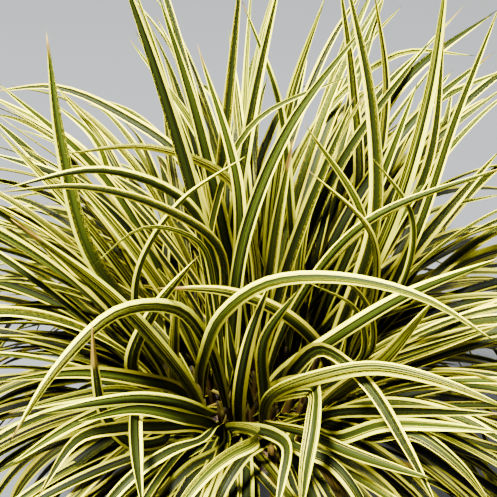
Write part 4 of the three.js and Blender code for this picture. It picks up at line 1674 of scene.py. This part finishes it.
def rounded(corners: list[tuple[float, float, float]], steps: int = 4) -> list[tuple[float, float]]:
    """A profile with rounded corners.

    Args:
        corners: Radius, height and rounding of each corner.
        steps: How many stretches round each one.

    Returns:
        The points of the profile.
    """
    places = [Vector(corner[:2]) for corner in corners]
    line = []
    for k, (x, z, size) in enumerate(corners):
        if size <= 0 or k in (0, len(corners) - 1):
            line.append((x, z))
            continue
        before = places[k] + (places[k - 1] - places[k]).normalized() * size
        after = places[k] + (places[k + 1] - places[k]).normalized() * size
        for step in range(steps + 1):
            t = step / steps
            point = before * (1 - t) ** 2 + places[k] * 2 * t * (1 - t) + after * t**2
            line.append((point.x, point.y))
    return line


@dataclass
class Pot:
    """A plain round plant pot with a thick band under its rim and a ring of drainage holes.

    Attributes:
        height: Its height.
        rim_radius: The outside of the rim band.
        rim_band: The height of that band.
        rim_step: How far the band stands out.
        base_radius: The outside of the foot.
        wall: The thickness of the wall.
        floor: The thickness of the floor.
        holes: How many drainage holes it has.
        hole_radius: Their radius.
        hole_circle: How far they lie from the middle.
        sides: How many sides it has round about.
        crisp_from: Edges sharper than this, in degrees, stay crisp.
        finish: Its finish.
    """

    # The section of a ring round the wall: how far up and how far out each corner lies.
    RING = ((-1.2 * MM, 0.0), (-0.6 * MM, 0.45 * MM), (0.6 * MM, 0.45 * MM), (1.2 * MM, 0.0))

    height: float = 146 * MM
    rim_radius: float = 84 * MM
    rim_band: float = 22 * MM
    rim_step: float = 3.5 * MM
    base_radius: float = 60 * MM
    wall: float = 4 * MM
    floor: float = 5 * MM
    holes: int = 6
    hole_radius: float = 5 * MM
    hole_circle: float = 40 * MM
    sides: int = 128
    crisp_from: float = 38.0
    finish: PotFinish = field(default_factory=PotFinish)

    def profile(self) -> list[tuple[float, float]]:
        """The section of the wall, with its lip, band and rings.

        Returns:
            Radius and height of its points.
        """
        top = self.rim_radius - self.rim_step
        foot_of_band = self.height - self.rim_band
        slope = (top - 1 * MM - self.base_radius) / foot_of_band
        rings = [
            (self.base_radius + slope * (z + up) + out, z + up, 0.25 * MM)
            for z in (12 * MM, foot_of_band - 9 * MM)
            for up, out in self.RING
        ]
        corners = [
            (0, 0, 0),
            (self.base_radius, 0, 1.5 * MM),
            *rings,
            (top - 1 * MM, foot_of_band, 0.8 * MM),
            (self.rim_radius, foot_of_band + 1.6 * MM, 1.2 * MM),
            (self.rim_radius - 0.3 * MM, self.height - 5 * MM, 0.6 * MM),
            (self.rim_radius, self.height - 4 * MM, 0.6 * MM),
            (self.rim_radius, self.height, 1.8 * MM),
            (top - self.wall, self.height, 1.6 * MM),
            (self.base_radius - self.wall, self.floor, 2 * MM),
            (0, self.floor, 0),
        ]
        return rounded(corners)

    def _drill(self) -> bpy.types.Object:
        """The rods that are taken out of the floor to make the drainage holes.

        Returns:
            The rods, as one object.
        """
        rods = bmesh.new()
        for hole in range(self.holes):
            angle = 2 * math.pi * hole / self.holes
            x, y = self.hole_circle * math.cos(angle), self.hole_circle * math.sin(angle)
            bmesh.ops.create_cone(
                rods,
                cap_ends=True,
                segments=24,
                radius1=self.hole_radius,
                radius2=self.hole_radius,
                depth=4 * self.floor,
                matrix=Matrix.Translation((x, y, 0)),
            )
        return shown("drill", as_mesh("drill", rods))

    def build(self) -> bpy.types.Object:
        """Builds the pot and puts it in its solid's place.

        Returns:
            The pot's object.
        """
        pot = turned("plant_pot", self.profile(), self.sides)
        drill = self._drill()
        cut = pot.modifiers.new("drainage", "BOOLEAN")
        cut.operation, cut.solver, cut.object = "DIFFERENCE", "EXACT", drill
        settle(pot)
        bpy.data.objects.remove(drill)
        dress(pot, self.finish.make())
        pot.data.set_sharp_from_angle(angle=math.radians(self.crisp_from))
        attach(pot, BODY)
        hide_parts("pot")
        log.info("pot: %d faces", len(pot.data.polygons))
        return pot


@dataclass
class Compost:
    """The compost in the pot: a lumpy bed with chips, grit and old fibres on it.

    Attributes:
        level: The height of the bed's middle.
        edge_level: Its height at the pot's wall.
        radius: Its radius at the top.
        foot_radius: Its radius at the bottom.
        foot: The height of its underside.
        lumps: How far the lumps stand up or sink in.
        rings: How many rings its top has.
        sides: How many sides it has round about.
        bed: The finish of the bed and of the crumbs on it.
        bark: The finish of the chips.
        grit: The finish of the grit.
        fibre: The finish of the fibres.
    """

    # The share of the way in from the pot's wall over which the bed rises, and the width of the
    # even rim that has no lumps.
    RISES_OVER = 0.2
    EVEN_RIM = 6 * MM
    # Only faces whose normal points up by more than this are strewn on.
    FLAT_ENOUGH = 0.3
    # How far a strewn piece is turned about each axis, at least and at most, in radians.
    TURNED = ((-0.5, -0.5, 0.0), (0.5, 0.5, 6.2832))
    # How far the pieces keep off the wall, and how far out the fibres lie.
    OFF_WALL = 3 * MM
    FIBRES_REACH = 58 * MM
    # How much the corners of a chip differ.
    CHIP_ROUGH = 0.28
    # A fibre with a length of one: how many stretches it has, how far it bends aside and how
    # quickly, how far it bends up, how thick it is, how much thinner it gets and how flat it is.
    FIBRE_STRETCHES = 6
    FIBRE_ASIDE = 0.22
    FIBRE_QUICK = 2.6
    FIBRE_UP = 0.16
    FIBRE_THICK = 0.016
    FIBRE_TAPER = 0.7
    FIBRE_FLAT = 0.6

    level: float = SOIL_LEVEL
    edge_level: float = 133 * MM
    radius: float = 73.8 * MM
    foot_radius: float = 55.3 * MM
    foot: float = 7.3 * MM
    lumps: float = 1.5 * MM
    rings: int = 34
    sides: int = 120
    bed: EarthFinish = EarthFinish("compost", srgb(22, 15, 11), srgb(62, 44, 32), 160.0)
    bark: EarthFinish = EarthFinish("bark_chips", srgb(44, 26, 17), srgb(112, 76, 50), 420.0)
    grit: EarthFinish = EarthFinish(
        "pale_grit", srgb(150, 144, 132), srgb(206, 202, 192), 300.0, 0.75
    )
    fibre: EarthFinish = EarthFinish("old_fibres", srgb(84, 58, 34), srgb(158, 124, 82), 220.0)

    def top(self) -> bpy.types.Object:
        """The bed itself: a closed body with a lumpy top.

        Returns:
            The bed's object.
        """
        profile = [(0, self.foot), (self.foot_radius, self.foot), (self.radius, self.edge_level)]
        for ring in range(1, self.rings):
            share = 1 - ring / self.rings
            rise = min(1.0, (1 - share) / self.RISES_OVER)
            height = self.edge_level + (self.level - self.edge_level) * rise
            profile.append((self.radius * share, height))
        profile.append((0, self.level))
        bed = turned("compost_bed", profile, self.sides)
        places = np.array([vertex.co for vertex in bed.data.vertices])
        inside = (self.radius - np.hypot(places[:, 0], places[:, 1])) / self.EVEN_RIM
        lumps = self._lumps(places[:, 0] / MM, places[:, 1] / MM) * 0.5 * self.lumps
        high = places[:, 2] > self.edge_level - 1e-6
        places[:, 2] += np.where(high, lumps * np.clip(inside, 0, 1), 0)
        bed.data.vertices.foreach_set("co", places.astype(np.float32).ravel())
        dress(bed, self.bed.make())
        return bed

    @staticmethod
    def _lumps(x: np.ndarray, y: np.ndarray) -> np.ndarray:
        """How far the bed stands up or sinks in.

        Args:
            x: Places along X, in millimetres.
            y: Places along Y, in millimetres.

        Returns:
            A number for each place, about -2 to 2.
        """
        lump = np.sin(x * 0.31 + 1.3) * np.cos(y * 0.27) + 0.6 * np.sin((x - y) * 0.53)
        lump += 0.4 * np.sin(x * 1.3) * np.sin(y * 1.1 + 2)
        crumb = 0.35 * np.sin(x * 3.1 + 2 * np.sin(y * 2.3)) * np.cos(y * 2.7 + x)
        return lump + crumb

    def chip(
        self, name: str, long: float, wide: float, thick: float, seed: int
    ) -> bpy.types.Object:
        """One irregular chip to be strewn.

        Args:
            name: The object's name.
            long: Its length, for a size of one.
            wide: Its width.
            thick: Its thickness.
            seed: What makes its shape its own.

        Returns:
            The chip, which is a pattern and isn't shown itself.
        """
        random = np.random.default_rng(seed)
        shape = bmesh.new()
        bmesh.ops.create_icosphere(shape, subdivisions=1, radius=0.5)
        for vertex in shape.verts:
            push = 1 + random.uniform(-self.CHIP_ROUGH, self.CHIP_ROUGH)
            x, y, z = vertex.co
            vertex.co = Vector((x * long * push, y * wide * push, z * thick * push))
        return bpy.data.objects.new(name, as_mesh(name, shape))

    def strand(self, name: str) -> bpy.types.Object:
        """One curved fibre to be strewn.

        Args:
            name: The object's name.

        Returns:
            The fibre, which is a pattern and isn't shown itself.
        """
        shape = bmesh.new()
        section = ((0, 1), (-0.87, -0.5), (0.87, -0.5))
        rings = []
        for step in range(self.FIBRE_STRETCHES + 1):
            t = step / self.FIBRE_STRETCHES
            aside = self.FIBRE_ASIDE * math.sin(t * self.FIBRE_QUICK)
            middle = Vector((t, aside, self.FIBRE_UP * math.sin(t * math.pi)))
            size = self.FIBRE_THICK * (1 - self.FIBRE_TAPER * t)
            corners = [Vector((0, y * size, z * size * self.FIBRE_FLAT)) for y, z in section]
            rings.append([shape.verts.new(middle + corner) for corner in corners])
        for lower, upper in zip(rings, rings[1:]):
            for k in range(3):
                shape.faces.new([lower[k], lower[(k + 1) % 3], upper[(k + 1) % 3], upper[k]])
        shape.faces.new(rings[0][::-1])
        shape.faces.new(rings[-1])
        bmesh.ops.recalc_face_normals(shape, faces=shape.faces)
        return bpy.data.objects.new(name, as_mesh(name, shape))

    def strewing_tree(self) -> bpy.types.GeometryNodeTree:
        """A node tree that strews copies of a pattern over the top of a bed.

        Returns:
            The tree, with inputs for the pattern, its finish, its number, its sizes, how far out it
            lies and its seed.
        """
        tree = bpy.data.node_groups.new("strewing", "GeometryNodeTree")
        sockets = [
            ("Geometry", "NodeSocketGeometry"),
            ("Pattern", "NodeSocketObject"),
            ("Finish", "NodeSocketMaterial"),
            ("Density", "NodeSocketFloat"),
            ("Smallest", "NodeSocketFloat"),
            ("Largest", "NodeSocketFloat"),
            ("Reach", "NodeSocketFloat"),
            ("Seed", "NodeSocketInt"),
        ]
        for name, kind in sockets:
            tree.interface.new_socket(name, in_out="INPUT", socket_type=kind)
        tree.interface.new_socket("Geometry", in_out="OUTPUT", socket_type="NodeSocketGeometry")
        bench = NodeBench(tree)
        given = bench.add("NodeGroupInput").outputs
        level = bench.parts(bench.add("GeometryNodeInputNormal").outputs[0])[2]
        place = bench.add("GeometryNodeInputPosition").outputs[0]
        flat = {0: place, 1: (1.0, 1.0, 0.0)}
        flat = bench.add("ShaderNodeVectorMath", flat, operation="MULTIPLY").outputs[0]
        out = bench.add("ShaderNodeVectorMath", {0: flat}, operation="LENGTH").outputs["Value"]
        tests = [
            bench.add("FunctionNodeCompare", sides, data_type="FLOAT", operation=way).outputs[0]
            for sides, way in (
                ({0: level, 1: self.FLAT_ENOUGH}, "GREATER_THAN"),
                ({0: out, 1: given["Reach"]}, "LESS_THAN"),
            )
        ]
        both = dict(enumerate(tests))
        chosen = bench.add("FunctionNodeBooleanMath", both, operation="AND").outputs[0]
        seeded = {"Seed": given["Seed"]}
        strewn = bench.add(
            "GeometryNodeDistributePointsOnFaces",
            {"Mesh": given["Geometry"], "Selection": chosen, "Density": given["Density"], **seeded},
        )
        pattern = bench.add("GeometryNodeObjectInfo", {"Object": given["Pattern"]})
        sizes = {2: given["Smallest"], 3: given["Largest"], **seeded}
        turns = {**dict(enumerate(self.TURNED)), **seeded}
        size = bench.add("FunctionNodeRandomValue", sizes, data_type="FLOAT").outputs[1]
        turn = bench.add("FunctionNodeRandomValue", turns, data_type="FLOAT_VECTOR").outputs[0]
        copies = bench.add(
            "GeometryNodeInstanceOnPoints",
            {
                "Points": strewn.outputs["Points"],
                "Instance": pattern.outputs["Geometry"],
                "Rotation": turn,
                "Scale": size,
            },
        ).outputs[0]
        real = bench.add("GeometryNodeRealizeInstances", {0: copies}).outputs[0]
        dressed = {"Geometry": real, "Material": given["Finish"]}
        dressed = bench.add("GeometryNodeSetMaterial", dressed).outputs[0]
        bench.add("NodeGroupOutput", {0: dressed})
        return tree

    def strew(
        self,
        bed: bpy.types.Object,
        tree: bpy.types.GeometryNodeTree,
        name: str,
        pattern: bpy.types.Object,
        finish: EarthFinish,
        amounts: dict[str, float | int],
    ) -> bpy.types.Object:
        """Strews copies of a pattern over the bed.

        Args:
            bed: The bed.
            tree: The strewing tree.
            name: The new object's name.
            pattern: What is copied.
            finish: The copies' finish.
            amounts: The tree's numbers, by input name.

        Returns:
            The strewn copies as one object.
        """
        strewn = shown(name, bed.data.copy())
        nodes = strewn.modifiers.new("strewing", "NODES")
        nodes.node_group = tree
        material = finish.make()
        inputs = [item for item in tree.interface.items_tree if item.in_out == "INPUT"]
        sockets = {item.name: item.identifier for item in inputs}
        for label, value in {"Pattern": pattern, "Finish": material, **amounts}.items():
            nodes[sockets[label]] = value
        settle(strewn)
        dress(strewn, material, smooth=False)
        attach(strewn, BODY)
        log.info("%s: %d faces", name, len(strewn.data.polygons))
        return strewn

    def build(self) -> None:
        """Builds the bed and everything strewn on it."""
        bed = self.top()
        tree = self.strewing_tree()
        chips = self.chip("chip_pattern", 1.0, 0.55, 0.3, 5)
        grain = self.chip("grain_pattern", 1.0, 0.85, 0.75, 9)
        fibre = self.strand("fibre_pattern")
        far, near = self.radius - self.OFF_WALL, self.FIBRES_REACH
        labels = ("Density", "Smallest", "Largest", "Reach", "Seed")
        for name, pattern, finish, *amounts in (
            ("bark_chips", chips, self.bark, 52000.0, 2.2 * MM, 6.0 * MM, far, 3),
            ("compost_crumbs", grain, self.bed, 90000.0, 0.9 * MM, 2.4 * MM, far, 8),
            ("pale_grit", grain, self.grit, 5200.0, 1.0 * MM, 2.4 * MM, far, 12),
            ("old_fibres", fibre, self.fibre, 26000.0, 9.0 * MM, 26.0 * MM, near, 17),
        ):
            self.strew(bed, tree, name, pattern, finish, dict(zip(labels, amounts)))
        for pattern in (chips, grain, fibre):
            bpy.data.objects.remove(pattern)
        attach(bed, BODY)
        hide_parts("compost")
        log.info("compost bed: %d faces", len(bed.data.polygons))


# ---- Studio ----


@dataclass
class Studio:
    """A plain pale floor that sweeps up all round, soft light from above, and the camera.

    Attributes:
        floor: The colour of the floor.
        flat_radius: How far the floor is flat.
        sweep: The radius of its upward sweep.
        wall_height: How high the wall stands.
        key_power: The strength of the main light above.
        fill_power: The strength of the light from the side.
        back_power: The strength of the light from behind.
        surround: The brightness of the room.
        air: The colour of the room's light.
        aim: The height that the lights shine at.
        sides: How many sides the floor has round about.
        bends: How many stretches its sweep has.
    """

    floor: tuple = srgb(67, 69, 70)
    flat_radius: float = 3.2
    sweep: float = 1.4
    wall_height: float = 5.0
    key_power: float = 2020.0
    fill_power: float = 34.0
    back_power: float = 120.0
    surround: float = 0.1
    air: tuple = (0.96, 0.98, 1.0, 1.0)
    aim: float = 0.25
    sides: int = 96
    bends: int = 14

    def build(self) -> None:
        """Builds the floor, the lights and the camera."""
        self._floor()
        self._area("key", (-1.1, -0.9, 3.4), 0.75, self.key_power)
        self._area("fill", (2.2, -2.4, 1.6), 1.5, self.fill_power)
        self._area("back", (1.3, 2.3, 2.2), 1.2, self.back_power)
        world = bpy.data.worlds.new("room")
        world.use_nodes = True
        background = world.node_tree.nodes["Background"]
        background.inputs["Color"].default_value = self.air
        background.inputs["Strength"].default_value = self.surround
        bpy.context.scene.world = world
        self._camera()
        log.info("studio ready")

    def _floor(self) -> None:
        """The floor, as one sheet that curves up into a wall on every side."""
        line = [(0.0, 0.0), (self.flat_radius, 0.0)]
        for angle in np.linspace(0.1, math.pi / 2, self.bends):
            out = self.flat_radius + self.sweep * math.sin(angle)
            line.append((out, self.sweep * (1 - math.cos(angle))))
        line.append((self.flat_radius + self.sweep, self.wall_height))
        floor = turned("studio_floor", line, self.sides)
        floor.data.flip_normals()
        material, bench = new_material("studio_paper")
        bench.surface({"Base Color": self.floor, "Roughness": 0.9})
        dress(floor, material)

    def _area(
        self, name: str, place: tuple[float, float, float], size: float, power: float
    ) -> None:
        """A square light that shines at the middle of the plant.

        Args:
            name: Its name.
            place: Where it hangs.
            size: The length of its sides.
            power: Its strength.
        """
        light = bpy.data.lights.new(name, "AREA")
        light.size, light.energy = size, power
        lamp = shown(name, light)
        lamp.location = place
        sight = Vector((0, 0, self.aim)) - Vector(place)
        lamp.rotation_euler = sight.to_track_quat("-Z", "Y").to_euler()

    @staticmethod
    def _camera() -> None:
        """The camera, at the layout's eye."""
        data = bpy.data.cameras.new("front")
        data.sensor_width = 36.0
        data.lens = data.sensor_width * LAYOUT.distance / (LAYOUT.columns * LAYOUT.square)
        data.clip_start, data.clip_end = 0.01, 50.0
        camera = shown("front", data)
        back, up = -Vector(LAYOUT.forward()), Vector(LAYOUT.upward())
        turn = Matrix((Vector((1, 0, 0)), up, back)).transposed()
        camera.matrix_world = Matrix.Translation(Vector(LAYOUT.eye())) @ turn.to_4x4()
        bpy.context.scene.camera = camera


def main() -> None:
    """Builds the studio, the pot, the compost and the sedge, in that order."""
    logging.basicConfig(level=logging.INFO, format="%(name)s: %(message)s")
    Studio().build()
    Pot().build()
    Compost().build()
    Sedge().build()


if __name__ == "__main__":
    main()
